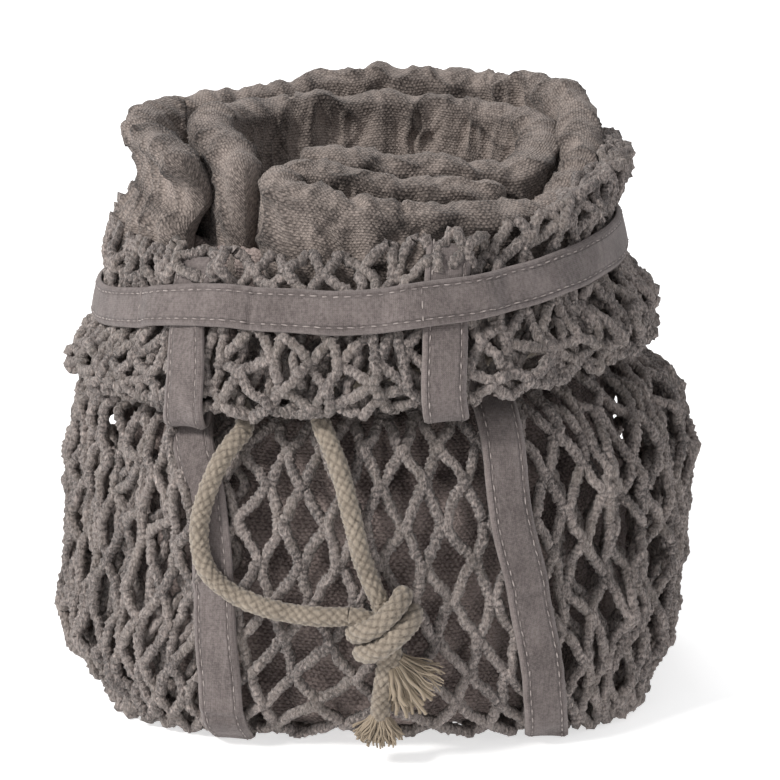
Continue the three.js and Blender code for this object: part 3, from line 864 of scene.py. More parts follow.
class Loom(Bench):
    """Builds one Geometry Nodes tree with named inputs and turns its result into plain meshes."""

    def __init__(self, name: str, sizes: dict[str, float]) -> None:
        """Makes a tree with a geometry input and output and a number input for each size.

        Args:
            name: The tree's name.
            sizes: The value of each number input, by its name.
        """
        tree = bpy.data.node_groups.new(name, "GeometryNodeTree")
        super().__init__(tree)
        tree.interface.new_socket("Guide", in_out="INPUT", socket_type="NodeSocketGeometry")
        tree.interface.new_socket("Result", in_out="OUTPUT", socket_type="NodeSocketGeometry")
        self.sizes = sizes
        self.keys = {
            key: tree.interface.new_socket(key, in_out="INPUT", socket_type="NodeSocketFloat").identifier
            for key in sizes
        }
        self.entry = self.node("NodeGroupInput")

    def input(self, name: str) -> Wire:
        """Returns one of the tree's inputs."""
        return Wire(self, self.entry.outputs[name])

    def stored(self, name: str) -> Wire:
        """Returns a number that is stored at the points."""
        return self.wire("GeometryNodeInputNamedAttribute", {"data_type": "FLOAT"}, {"Name": name})

    def store(self, geometry: Wire, name: str, value: Value) -> Wire:
        """Stores a number at the points.

        Args:
            geometry: The geometry.
            name: The name to store the number under.
            value: The number.

        Returns:
            The geometry with it.
        """
        settings = {"data_type": "FLOAT", "domain": "POINT"}
        inputs = {"Geometry": geometry, "Name": name, "Value": value}
        return self.wire("GeometryNodeStoreNamedAttribute", settings, inputs)

    def smooth_lines(self, spacing: Value) -> Wire:
        """Turns the guide's lines into smooth curves.

        Args:
            spacing: The distance between their points, in metres.

        Returns:
            The curves.
        """
        curve = self.wire("GeometryNodeMeshToCurve", inputs={0: self.input("Guide")})
        curve = self.wire("GeometryNodeCurveSplineType", {"spline_type": "CATMULL_ROM"}, {"Curve": curve})
        curve = self.wire("GeometryNodeSetSplineResolution", inputs={"Geometry": curve, "Resolution": 8})
        return self.wire("GeometryNodeResampleCurve", {"mode": "LENGTH"}, {"Curve": curve, "Length": spacing})

    def moved(self, geometry: Wire, offset: Wire) -> Wire:
        """Returns the geometry with its points moved by an offset."""
        return self.wire("GeometryNodeSetPosition", inputs={"Geometry": geometry, "Offset": offset})

    def scaled(self, vector: Wire, scale: Wire) -> Wire:
        """Returns a vector times a number."""
        return self.wire("ShaderNodeVectorMath", {"operation": "SCALE"}, {0: vector, "Scale": scale})

    def random_vector(self, low: Sequence[float], high: Sequence[float], seed: int) -> Wire:
        """Returns a random vector for each point, between two corners."""
        settings = {"data_type": "FLOAT_VECTOR"}
        return self.wire("FunctionNodeRandomValue", settings, {0: low, 1: high, "Seed": seed})

    def circle(self, sides: int) -> Wire:
        """Returns a strand's section, at the tree's input Radius."""
        inputs = {"Resolution": sides, "Radius": self.input("Radius")}
        return self.wire("GeometryNodeCurvePrimitiveCircle", inputs=inputs)

    def tube(self, curve: Wire, section: Wire) -> Wire:
        """Sweeps a section along curves, as thick as the girth that their points store.

        Args:
            curve: The curves.
            section: The section, a closed curve.

        Returns:
            Closed tubes.
        """
        inputs = {"Curve": curve, "Radius": self.stored("girth")}
        curve = self.wire("GeometryNodeSetCurveRadius", inputs=inputs)
        inputs = {"Curve": curve, "Profile Curve": section, "Fill Caps": True}
        return self.wire("GeometryNodeCurveToMesh", inputs=inputs)

    def close(self, geometry: Wire, material: Finish) -> None:
        """Ends the tree: instances are made real and the material is set.

        Args:
            geometry: The result.
            material: Its finish.
        """
        real = self.wire("GeometryNodeRealizeInstances", inputs={0: geometry})
        even = self.wire("GeometryNodeSetShadeSmooth", inputs={0: real})
        dressed = self.wire("GeometryNodeSetMaterial", inputs={"Geometry": even, "Material": material})
        self.node("NodeGroupOutput", inputs={0: dressed})

    def weave(self, name: str, guide: Piece, material: Finish) -> Piece:
        """Runs the tree on a guide.

        Args:
            name: The name of the piece.
            guide: The object whose mesh the tree follows; it is removed.
            material: The finish of the piece.

        Returns:
            A plain mesh object.
        """
        modifier = guide.modifiers.new("loom", "NODES")
        modifier.node_group = self.tree
        for key, value in self.sizes.items():
            modifier[self.keys[key]] = value
        graph = bpy.context.evaluated_depsgraph_get()
        mesh = bpy.data.meshes.new_from_object(guide.evaluated_get(graph), depsgraph=graph)
        mesh.name = name
        if not mesh.materials:
            mesh.materials.append(material)
        bpy.data.objects.remove(guide)
        return place_object(name, mesh)


# The bag's skin


@dataclass(frozen=True)
class Skin:
    """The bag's outer face, which the net and the tapes follow."""

    rows: Array = field(
        default_factory=lambda: np.array(
            [(*row, HITCH_RISE.get(name, 0)) for name, row in BAG_RINGS.items()], float
        )
    )
    step: float = 0.02

    @staticmethod
    def ring(name: str) -> int:
        """Returns a ring's climb."""
        return list(BAG_RINGS).index(name)

    def point(self, climb: Array, turn: Array) -> Array:
        """Finds points of the outer face.

        Args:
            climb: The height, counted in rings.
            turn: The turn round the bag, 0 at +X and a quarter turn at +Y.

        Returns:
            The points.
        """
        left, right, front, back, z, rise, lift, square, hitch = np.moveaxis(along(self.rows, climb), -1, 0)
        c, s = (np.sign(v) * np.abs(v) ** (1 - square) for v in (np.cos(turn), np.sin(turn)))
        x = np.where(c > 0, right, left) * c
        y = np.where(s > 0, back, front) * s
        hitched = hitch * bell(turn_from(HITCH_TURN, turn), HITCH_WIDTH)
        return np.stack([x, y, z + rise * c + lift * s + hitched], axis=-1)

    def normal(self, climb: Array, turn: Array) -> Array:
        """Finds the face's directions.

        Args:
            climb: The height, counted in rings.
            turn: The turn round the bag.

        Returns:
            The outward normals.
        """
        low = np.maximum(0, climb - self.step)
        high = np.minimum(len(self.rows) - 1, climb + self.step)
        up = self.point(high, turn) - self.point(low, turn)
        around = self.point(climb, turn + self.step) - self.point(climb, turn - self.step)
        return unit(np.cross(around, up))

    def off(self, climb: Array, turn: Array, height: Array | float) -> Array:
        """Finds points at a distance from the outer face.

        Args:
            climb: The height, counted in rings.
            turn: The turn round the bag.
            height: How far out from the face.

        Returns:
            The points.
        """
        climb, turn = np.broadcast_arrays(np.asarray(climb, float), np.asarray(turn, float))
        return self.point(climb, turn) + self.normal(climb, turn) * np.asarray(height)[..., None]

    def turn_at(self, climb: Array, reach: Array, side: Side) -> Array:
        """Finds where the face has a given reach.

        Args:
            climb: The height, counted in rings.
            reach: The distance from the middle plane, towards +X.
            side: The front or the back.

        Returns:
            The turn there.
        """
        row = along(self.rows, climb)
        half = np.where(reach > 0, row[..., 1], row[..., 0])
        share = np.clip(np.abs(reach / half), 0, 1) ** (1 / (1 - row[..., 7]))
        return side.value * np.arccos(np.sign(reach) * share)

    def lengths(self, start: str, end: str, turn: float) -> tuple[Array, Array]:
        """Measures the face upwards.

        Args:
            start: The ring to start at.
            end: The ring to end at.
            turn: The turn to measure at.

        Returns:
            Climbs between the two rings, and the length along the face up to each.
        """
        low, high = self.ring(start), self.ring(end)
        climbs = np.linspace(low, high, 40 * (high - low) + 1)
        return climbs, run_along(self.point(climbs, np.full_like(climbs, turn)))


@dataclass(frozen=True)
class StrapLine:
    """Where the two long tapes run on the skin."""

    skin: Skin
    rows: Array = field(default_factory=lambda: np.array([r[1:] for r in STRAP_RUN], float))

    def reach(self, climb: Array) -> Array:
        """Returns both tapes' distance from the middle plane, in the last column."""
        rings = np.array([self.skin.ring(r[0]) for r in STRAP_RUN], float)
        return along(self.rows, np.interp(climb, rings, np.arange(len(rings))))

    def clearance(self, climb: Array, points: Array) -> Array:
        """Returns how far points are from the nearer tape's middle, seen from the front."""
        return np.abs(self.reach(climb) - points[..., :1]).min(axis=-1)


# The net


@dataclass(frozen=True)
class Gauge:
    """How finely a stretch of the net is knitted."""

    sides: int
    spacing: float  # between the tube's rings


@dataclass(frozen=True)
class Crumple:
    """How a zone of the net is crumpled: the height of its pleats and creases, and how far it sinks in."""

    pleats: float
    creases: float
    sunk: float

    def height(self, pleat: Array, crease: Array) -> Array:
        """Returns how far the zone stands out, from noise for its pleats and for its creases."""
        return self.pleats * pleat + self.creases * crease - self.sunk


@dataclass
class Net:
    """The knitted net: chains that zigzag up the bag and join their neighbours at each knot."""

    skin: Skin
    straps: StrapLine
    columns: int = 50
    strand: float = 3.15  # a chain's thickness
    stitch: float = 1.6  # the length of one knitted stitch
    relief: float = 0.19  # how far the stitches stand out
    knot_gap: float = 1.6  # between the middles of the two chains in a knot
    knot_half: float = 0.9  # half a knot's length
    knot_shift: tuple[float, float] = (0.12, 0.26)  # a knot's stray in columns, and more where loose
    knot_drop: tuple[float, float] = (1.2, 2.8)  # its stray upwards, and more where loose
    rim_drop: tuple[float, float] = (0.5, 2.2)  # the last row's stray upwards, and more in front
    front_share: float = 0.86  # how dense the columns are in front, with 1 at the sides
    back_share: float = 0.92
    bottom_cell: tuple[float, float] = (11.8, 10.6)  # a mesh of the bottom, across and deep
    sag: float = 1.2  # how far the bottom hangs below the skin, beside the tapes
    round_scale: float = 80.0  # what one radian counts as in the folds' noise
    side_crumple: Crumple = Crumple(2.7, 1.7, 2.0)
    front_crumple: Crumple = Crumple(0.0, 0.5, 0.5)
    hem_crumple: Crumple = Crumple(1.4, 1.7, 1.0)
    collar_crumple: Crumple = Crumple(1.6, 1.3, 0.9)
    left_bulge: float = 5.0  # how far the left side swells just under the hem
    right_hollow: float = 2.4  # how far the right side is drawn in there
    right_lip: float = 2.6  # how far the hem and the rim are drawn in on the right
    left_corner: float = 4.0  # how far the front corner at the lower left is drawn in
    tape_lap: float = 4.4  # how high loose net lies over a tape
    back_turn: float = 0.85  # how wide the front and the back are, in radians
    sway: float = 2.4 * MM  # how far a strand wanders
    fluff: float = 2.7 * MM  # how deep its fluff is
    rim_insets: tuple[float, ...] = (0.0, 2.6, 5.4)  # how far inwards each chain of the rim lies
    rim_girth: float = 0.85
    slack_foot: float = 8.0  # how high the side's slack loops start
    slack_step: int = 3  # one in so many chains in front has a slack one behind the hem
    slack_girth: float = 1.1
    front_gauge: Gauge = Gauge(6, 0.58)
    back_gauge: Gauge = Gauge(5, 0.95)
    slack_gauge: Gauge = Gauge(5, 1.25)
    seed: float = 3.0

    def column_turns(self, column: Array) -> Array:
        """Spreads columns round the bag, closer together at the sides than in front.

        Args:
            column: The columns' numbers, whole or not.

        Returns:
            Their turns.
        """
        turns = np.linspace(-math.pi, math.pi, 721)
        belly = self.skin.point(np.full_like(turns, self.skin.ring("belly")), turns)
        steps = np.linalg.norm(np.diff(belly, axis=0), axis=1)
        middle = (turns[1:] + turns[:-1]) / 2
        front = bell(middle + math.pi / 2, self.back_turn)
        back = bell(middle - math.pi / 2, self.back_turn)
        density = 1 - (1 - self.front_share) * front - (1 - self.back_share) * back
        total = np.concatenate([[0], np.cumsum(steps * density)])
        share = np.mod(column / self.columns, 1.0) * total[-1]
        whole = np.floor(column / self.columns) * 2 * math.pi
        return np.interp(share, total, turns) + whole

    def knot_lengths(self) -> tuple[Array, Array, Array]:
        """Spaces the rows of knots.

        Returns:
            Each row's length up the front, and the table from length to climb.
        """
        climbs, lengths = self.skin.lengths("baseRing", "rim", -math.pi / 2)
        rows = [0.0]
        for start, end, count in NET_ZONES:
            ends = np.interp([self.skin.ring(start), self.skin.ring(end)], climbs, lengths)
            rows += list(np.linspace(ends[0], ends[1], count + 1)[1:])
        return np.array(rows), lengths, climbs

    @staticmethod
    def sideways(turn: Array) -> Array:
        """Returns 1 at the bag's two sides and 0 in front and behind."""
        return smooth((np.abs(np.cos(turn)) - 0.4) / 0.4)

    def looseness(self, climb: Array, turn: Array) -> Array:
        """Says how crumpled the net is.

        Args:
            climb: The height, counted in rings.
            turn: The turn round the bag.

        Returns:
            0 where it is drawn flat in front, up to 1 at the sides.
        """
        hem = smooth(climb - self.skin.ring("neckStart")) * 0.75
        above = 0.35 + 0.65 * smooth((climb - self.skin.ring("foot")) / 2)
        return np.maximum(self.sideways(turn) * above, hem)

    def folds(self, climb: Array, turn: Array, length: Array) -> Array:
        """Crumples the net.

        Args:
            climb: The height, counted in rings.
            turn: The turn round the bag.
            length: The length up the front.

        Returns:
            How far the net stands proud of the skin.
        """
        points = self.skin.point(climb, turn)
        ring = self.skin.ring
        side = self.sideways(turn)
        body = smooth((climb - ring("heel")) / 1.6) * smooth(ring("neckStart") - climb)
        hem = smooth(climb - ring("hemBottom") + 1) * smooth((ring("bandLow") - climb) / 0.8)
        collar = smooth((climb - ring("bandHigh")) / 0.6)
        around = turn * self.round_scale
        pleat = wobble(np.stack([around, length * 0.3], axis=-1), 8.5, self.seed)
        crease = wobble(np.stack([around, length], axis=-1), 9.5, self.seed + 1)
        rise = body * side * self.side_crumple.height(pleat, crease)
        rise += body * (1 - side) * self.front_crumple.height(pleat, crease)
        rise += hem * self.hem_crumple.height(pleat, crease)
        rise += collar * self.collar_crumple.height(pleat, crease)
        rise += self.settled(climb, turn)
        rise += self.sag * (1 - smooth((climb - ring("baseEdge")) / 1.4))
        clear = smooth((self.straps.clearance(climb, points) - 6.5) / 5)
        rise = np.where(rise > 0, rise * clear, rise)
        return rise + self.overlap(climb, points) + self.tape_lap * collar * (1 - clear)

    def settled(self, climb: Array, turn: Array) -> Array:
        """Shapes the places where the photographed bag has swelled or sunk.

        Args:
            climb: The height, counted in rings.
            turn: The turn round the bag.

        Returns:
            How far the net stands proud of the skin there.
        """
        ring = self.skin.ring
        left, right = (smooth(hand * np.cos(turn) * 3 - 1.6) for hand in (-1, 1))
        under_hem = climb - ring("neckStart") + 0.4
        bulge = self.left_bulge * bell(under_hem, 0.45) * left
        hollow = self.right_hollow * bell(under_hem, 0.6) * right
        rolled = bell(climb - ring("hemOuter") - 0.2, 0.7) + 0.8 * smooth((climb - ring("collar")) / 0.8)
        corner = bell(climb - ring("heel") - 0.6, 0.9) * bell(np.abs(turn) - 2.6, 0.4) * (turn < 0)
        return bulge - hollow - self.right_lip * rolled * right - self.left_corner * corner

    def overlap(self, climb: Array, points: Array) -> Array:
        """Laps the loose net over the left tape's outer edge.

        Args:
            climb: The points' height, counted in rings.
            points: Points of the skin.

        Returns:
            How far the net is lifted there.
        """
        ring = self.skin.ring
        past = self.straps.reach(climb)[..., 0] - points[..., 0]
        across = smooth((past - 1.5) / 2.5) * smooth((13 - past) / 5)
        above = smooth((climb - ring("belly") + 0.1) / 0.4)
        under = smooth((ring("neckStart") - 0.2 - climb) / 0.5)
        return self.tape_lap * across * above * under * (points[..., 1] < 0)

    def chains(self) -> tuple[Array, Array, Array, Array]:
        """Lays out every chain's guide points.

        Returns:
            The points by level and chain, their girths, their climbs and their turns.
        """
        rows, lengths, climbs = self.knot_lengths()
        chain = np.arange(2 * self.columns)
        knots: list[tuple[Array, Array, Array]] = []
        for j, row in enumerate(rows):
            odd = j % 2
            column = (chain + odd) // 2 - 0.5 * odd
            side = np.where((chain + odd) % 2 == 0, -1.0, 1.0)
            spot = np.stack([np.mod(column, self.columns) * 1.7, np.full(len(chain), 1.9 * j)], axis=-1)
            place = self.column_turns(column)
            loose = self.looseness(np.interp(row, lengths, climbs), place)
            last = j == len(rows) - 1
            even, more = self.knot_shift
            shift = (even + more * loose) * wobble(spot, 0.6, self.seed + 2)
            even, more = self.rim_drop if last else self.knot_drop
            drop = even + more * (smooth(-2 * np.sin(place) - 0.6) if last else loose)
            drop = drop * wobble(spot, 0.7, self.seed + 3)
            knots.append((column + shift, side, row + drop))
        levels: list[tuple[Array, ...]] = []
        for j, (column, side, length) in enumerate(knots):
            if j:
                before, _, below = knots[j - 1]
                spot = np.stack([chain * 2.3, np.full(len(chain), 3.1 * j)], axis=-1)
                stray = 0.7 * wobble(spot, 0.9, self.seed + 4)
                lift = 0.6 * wobble(spot, 0.9, self.seed + 5)
                girth = 0.98 + 0.1 * wobble(spot, 0.9, self.seed + 6)
                levels.append(((column + before) / 2, stray, (length + below) / 2, lift, girth))
            over = 0.4 * side * (-1) ** j
            full = np.full(len(chain), 1.18)
            for end in (-1, 1):
                at = length + end * self.knot_half
                levels.append((column, side * self.knot_gap / 2, at, over, full))
        column, aside, length, lift, girth = (np.array(v) for v in zip(*levels))
        length = np.clip(length, 0, lengths[-1])
        climb = np.interp(length, lengths, climbs)
        turn = self.column_turns(column)
        around = self.skin.point(climb, turn + 0.01) - self.skin.point(climb, turn - 0.01)
        turn = turn + aside * 0.02 / np.maximum(np.linalg.norm(around, axis=-1), 0.3)
        height = self.folds(climb, turn, length) + lift - self.strand / 2
        body = 1 - smooth(climb - self.skin.ring("neckStart"))
        girth = girth * (0.98 + 0.22 * self.sideways(turn) * (0.3 + 0.7 * body))
        return self.skin.off(climb, turn, height), girth, climb, turn

    def loom(self, material: Finish, gauge: Gauge) -> Loom:
        """Returns the tree that knits a chain along each line.

        Args:
            material: The yarn.
            gauge: How finely to knit.

        Returns:
            The tree.
        """
        sizes = {"Radius": self.strand / 2, "Stitch": self.stitch, "Relief": self.relief}
        sizes = {name: size * MM for name, size in {**sizes, "Spacing": gauge.spacing}.items()}
        loom = Loom("knitted_chain", {**sizes, "Sway": self.sway, "Fluff": self.fluff})
        curve = loom.smooth_lines(loom.input("Spacing"))
        curve = loom.store(curve, "run", loom.wire("GeometryNodeSplineParameter", output="Length"))
        drift = loom.wire("ShaderNodeTexNoise", inputs={"Scale": 170.0, "Detail": 1.0}, output="Color")
        inputs = {0: drift, 1: (0.5, 0.5, 0.5)}
        centred = loom.wire("ShaderNodeVectorMath", {"operation": "SUBTRACT"}, inputs)
        curve = loom.moved(curve, loom.scaled(centred, loom.input("Sway")))
        share = loom.wire("GeometryNodeSplineParameter", output="Factor")
        section = loom.store(loom.circle(gauge.sides), "fold", (share - 0.5).size() * 2)
        tube = loom.tube(curve, section)
        slant = loom.stored("run") / loom.input("Stitch") + loom.stored("fold") * 0.5
        loops = (slant * (2 * math.pi)).cosine()
        inputs = {"Scale": 700.0, "Detail": 3.0, "Roughness": 0.75}
        fluff = loom.wire("ShaderNodeTexNoise", inputs=inputs)
        lift = loops * loom.input("Relief") + (fluff - 0.5) * loom.input("Fluff")
        tube = loom.moved(tube, loom.scaled(loom.wire("GeometryNodeInputNormal"), lift))
        loom.close(tube, material)
        return loom

    def build(self, yarn: Finish) -> None:
        """Knits all the net's pieces.

        Args:
            yarn: Their finish.
        """
        points, girth, climb, turn = self.chains()
        ring = self.skin.ring
        middle = climb.mean(axis=1)
        neck = int(np.argmax(middle > ring("neckStart")))
        band = int(np.argmax(middle > ring("bandLow")))
        levels = len(points)
        belly_turn = turn[levels // 3]
        front = np.sin(belly_turn) < 0
        every = np.ones_like(front)
        fine, coarse = self.front_gauge, self.back_gauge
        pieces = []
        for name, low, high, chosen, gauge in (
            ("net_body_front", 0, neck + 1, front, fine),
            ("net_body_back", 0, neck + 1, ~front, coarse),
            ("net_hem_front", neck, band + 1, front, fine),
            ("net_hem_back", neck, band + 1, ~front, coarse),
            ("net_collar", band, levels, every, fine),
        ):
            picked = np.flatnonzero(chosen)
            lines = [points[low:high, i] for i in picked]
            values = [girth[low:high, i] for i in picked]
            if name == "net_collar":
                edges = [self.rim_edge(inset) for inset in self.rim_insets]
                lines += edges
                values += [np.full(len(edge), self.rim_girth) for edge in edges]
            guide = guide_mesh(name, lines, {"girth": np.concatenate(values)})
            pieces.append(self.loom(yarn, gauge).weave(name, guide, yarn))
        side = np.flatnonzero(np.abs(np.cos(belly_turn)) > 0.5)
        foot = int(np.argmax(points[:, side, 2].mean(axis=1) > self.slack_foot))
        loose = points[foot : neck - 3, side]
        pieces.append(self.slack("net_slack", loose, yarn, scale=0.95, lift=3.0))
        cuff = int(np.argmax(middle > ring("hemBottom") - 0.3))
        few = np.flatnonzero(front)[:: self.slack_step]
        pieces.append(self.slack("hem_slack", points[cuff : band + 1, few], yarn, scale=0.967))
        pieces.append(self.bottom(yarn))
        for piece in pieces:
            settle(piece, ["net"])

    def rim_edge(self, inset: float) -> Array:
        """Rolls an edge chain inwards over the cloth, on the mouth's right.

        Args:
            inset: How far inwards it lies.

        Returns:
            Its points.
        """
        turn = np.linspace(-0.85, 2.3, 95)
        climb = np.full_like(turn, self.skin.ring("rim") - 0.06)
        length = np.full_like(turn, self.knot_lengths()[0][-1])
        place = np.stack([turn * self.round_scale, length * 0 + inset], axis=-1)
        stray = 1.4 * wobble(place, 6.0, self.seed + 7)
        drop = smooth(inset / 5) * (1.2 + stray)
        edge = self.skin.off(climb, turn, self.folds(climb, turn, length) - self.strand / 2 - inset)
        return edge - np.stack([turn * 0, turn * 0, drop], axis=-1)

    def slack(self, name: str, points: Array, yarn: Finish, scale: float, lift: float = 0.0) -> Piece:
        """Knits loose folds of net that lie inside the others, half a cell round from them.

        Args:
            name: The piece's name.
            points: The guide points of the chains outside them, by level and chain.
            yarn: The finish.
            scale: How much narrower the folds lie.
            lift: How much higher they lie. With a lift, they are as much shorter as they are narrower.

        Returns:
            The piece.
        """
        half = math.pi / self.columns
        c, s = math.cos(half), math.sin(half)
        spun = np.array([[c, s, 0], [-s, c, 0], [0, 0, 1]])
        height = scale if lift else 1.0
        inner = (points @ spun) * (scale, scale, height) + (0, 0, lift)
        lines = list(np.moveaxis(inner, 1, 0))
        guide = guide_mesh(name, lines, {"girth": np.full(inner[..., 0].size, self.slack_girth)})
        return self.loom(yarn, self.slack_gauge).weave(name, guide, yarn)

    def bottom(self, yarn: Finish) -> Piece:
        """Knits the flat bottom as a lattice inside the first ring.

        Args:
            yarn: The finish.

        Returns:
            The piece.
        """
        left, right, front, back, z = BAG_RINGS["baseRing"][:5]
        pitch, row = self.bottom_cell
        height = z + self.strand / 2 - self.sag
        lines = []
        for i in range(-4, 5):
            for hand in (-1, 1):
                line = []
                for j in range(-5, 6):
                    step = pitch / 4 * hand * (1 if j % 2 else -1)
                    x, y = i * pitch + step + 0.5 * pitch, j * row
                    inside = (x / (right if x > 0 else left)) ** 2 + (y / (back if y > 0 else front)) ** 2
                    if inside < 1.25:
                        line.append((x, y, height))
                if len(line) > 2:
                    lines.append(np.array(line, float))
        guide = guide_mesh("net_bottom", lines, {"girth": np.ones(sum(len(line) for line in lines))})
        return self.loom(yarn, self.back_gauge).weave("net_bottom", guide, yarn)


# The tapes


@dataclass
class Ribbon:
    """A tape along a line: its middle, its outward direction and the direction across it."""

    name: str
    middle: Array
    normal: Array
    across: Array
    width: Array
    closed: bool
    thick: float = 1.2
    stray: tuple[float, float] = (0.35, 14.0)  # how far it strays sideways, and over what length
    wave: tuple[float, float] = (0.28, 11.0)  # its slow waves' height and length
    ripple: tuple[float, float] = (0.1, 3.5)  # its small waves' height and length
    drawn: tuple[float, float] = (0.1, 4.3)  # the puckers' height and pitch at its sewn edges
    crease_height: float = 0.55
    crease_depth: float = 0.4  # of the groove beside a crease
    stitch_in: float = 1.8
    seed: float = 0.0
    creases: Sequence[float] = ()
    seams: Sequence[float] = ()  # cross seams in front, by their reach from the middle plane

    def profile(self) -> Array:
        """Returns the section's corners as shares of the width and of the thickness."""
        top = [(v, 1 - 0.55 * abs(2 * v - 1) ** 14) for v in np.linspace(0, 1, 13)]
        return np.array([*top, (1.0, 0.05), (0.75, 0), (0.5, 0), (0.25, 0), (0.0, 0.05)])

    def sway(self, run: Array) -> Array:
        """Returns how far the tape strays sideways along its run."""
        height, length = self.stray
        return height * wobble(np.column_stack([run, run * 0]), length, self.seed + 2)

    def relief(self, run: Array, share: Array) -> Array:
        """Waves and creases the tape's face.

        Args:
            run: The distance along the tape.
            share: The share of its width across it.

        Returns:
            How far the face is lifted.
        """
        place = np.stack([run, share * 12], axis=-1)
        height, length = self.wave
        lift = height * (1 + wobble(place, length, self.seed))
        height, length = self.ripple
        lift += height * wobble(place, length, self.seed + 1)
        height, pitch = self.drawn
        lift += height * np.cos(run * 2 * math.pi / pitch) * np.abs(2 * share - 1) ** 6
        for crease in self.creases:
            slant = run - crease - 1.2 * (share - 0.5)
            lift += self.crease_height * bell(slant, 1.1) - self.crease_depth * bell(slant - 2.0, 1.0)
        return lift

    def build(self, material: Finish) -> Piece:
        """Builds the tape as a closed mesh.

        Args:
            material: Its finish.

        Returns:
            The object.
        """
        profile = self.profile()
        run = run_along(self.middle)
        share, level = profile[:, 0][None], profile[:, 1][None]
        along_run = np.broadcast_to(run[:, None], (len(run), len(profile)))
        lift = self.relief(along_run, np.broadcast_to(share, along_run.shape))
        height = level * self.thick + lift * (0.25 + 0.75 * level)
        aside = ((share - 0.5) * self.width[:, None] + self.sway(run)[:, None])[..., None]
        points = self.middle[:, None] + self.across[:, None] * aside
        points = points + self.normal[:, None] * height[..., None]
        count, sides = len(run), len(profile)
        faces = grid_faces(count, sides, self.closed, True).tolist()
        if not self.closed:
            faces += [list(range(sides)), list(range(count * sides - 1, (count - 1) * sides - 1, -1))]
        edge = np.minimum(share, 1 - share) * self.width[:, None]
        cloth = np.stack([along_run, share * self.width[:, None]], axis=-1).reshape(-1, 2)
        return plain_mesh(self.name, points.reshape(-1, 3), faces, material, {"edge": edge * MM}, cloth)

    def stitch_lines(self) -> list[Array]:
        """Lays out the top stitches on the tape's face.

        Returns:
            A line near each edge, and one for each cross seam.
        """
        run = run_along(self.middle)
        lines = []
        for side in (-1, 1):
            share = 0.5 + side * (0.5 - self.stitch_in / self.width)
            height = self.thick + self.relief(run, share) + 0.02
            aside = (share - 0.5) * self.width + self.sway(run)
            line = self.middle + self.across * aside[:, None] + self.normal * height[:, None]
            lines.append(np.vstack([line, line[:1]]) if self.closed else line)
        share = np.linspace(0.2, 0.8, 5)[:, None]
        for reach in self.seams:
            i = int(np.argmin(np.abs(self.middle[:, 0] - reach) + 1000 * (self.middle[:, 1] > 0)))
            height = self.thick + self.relief(np.full_like(share, run[i]), share) + 0.02
            aside = self.across[i] * (share - 0.5) * self.width[i]
            lines.append(self.middle[i] + aside + self.normal[i] * height)
        return lines


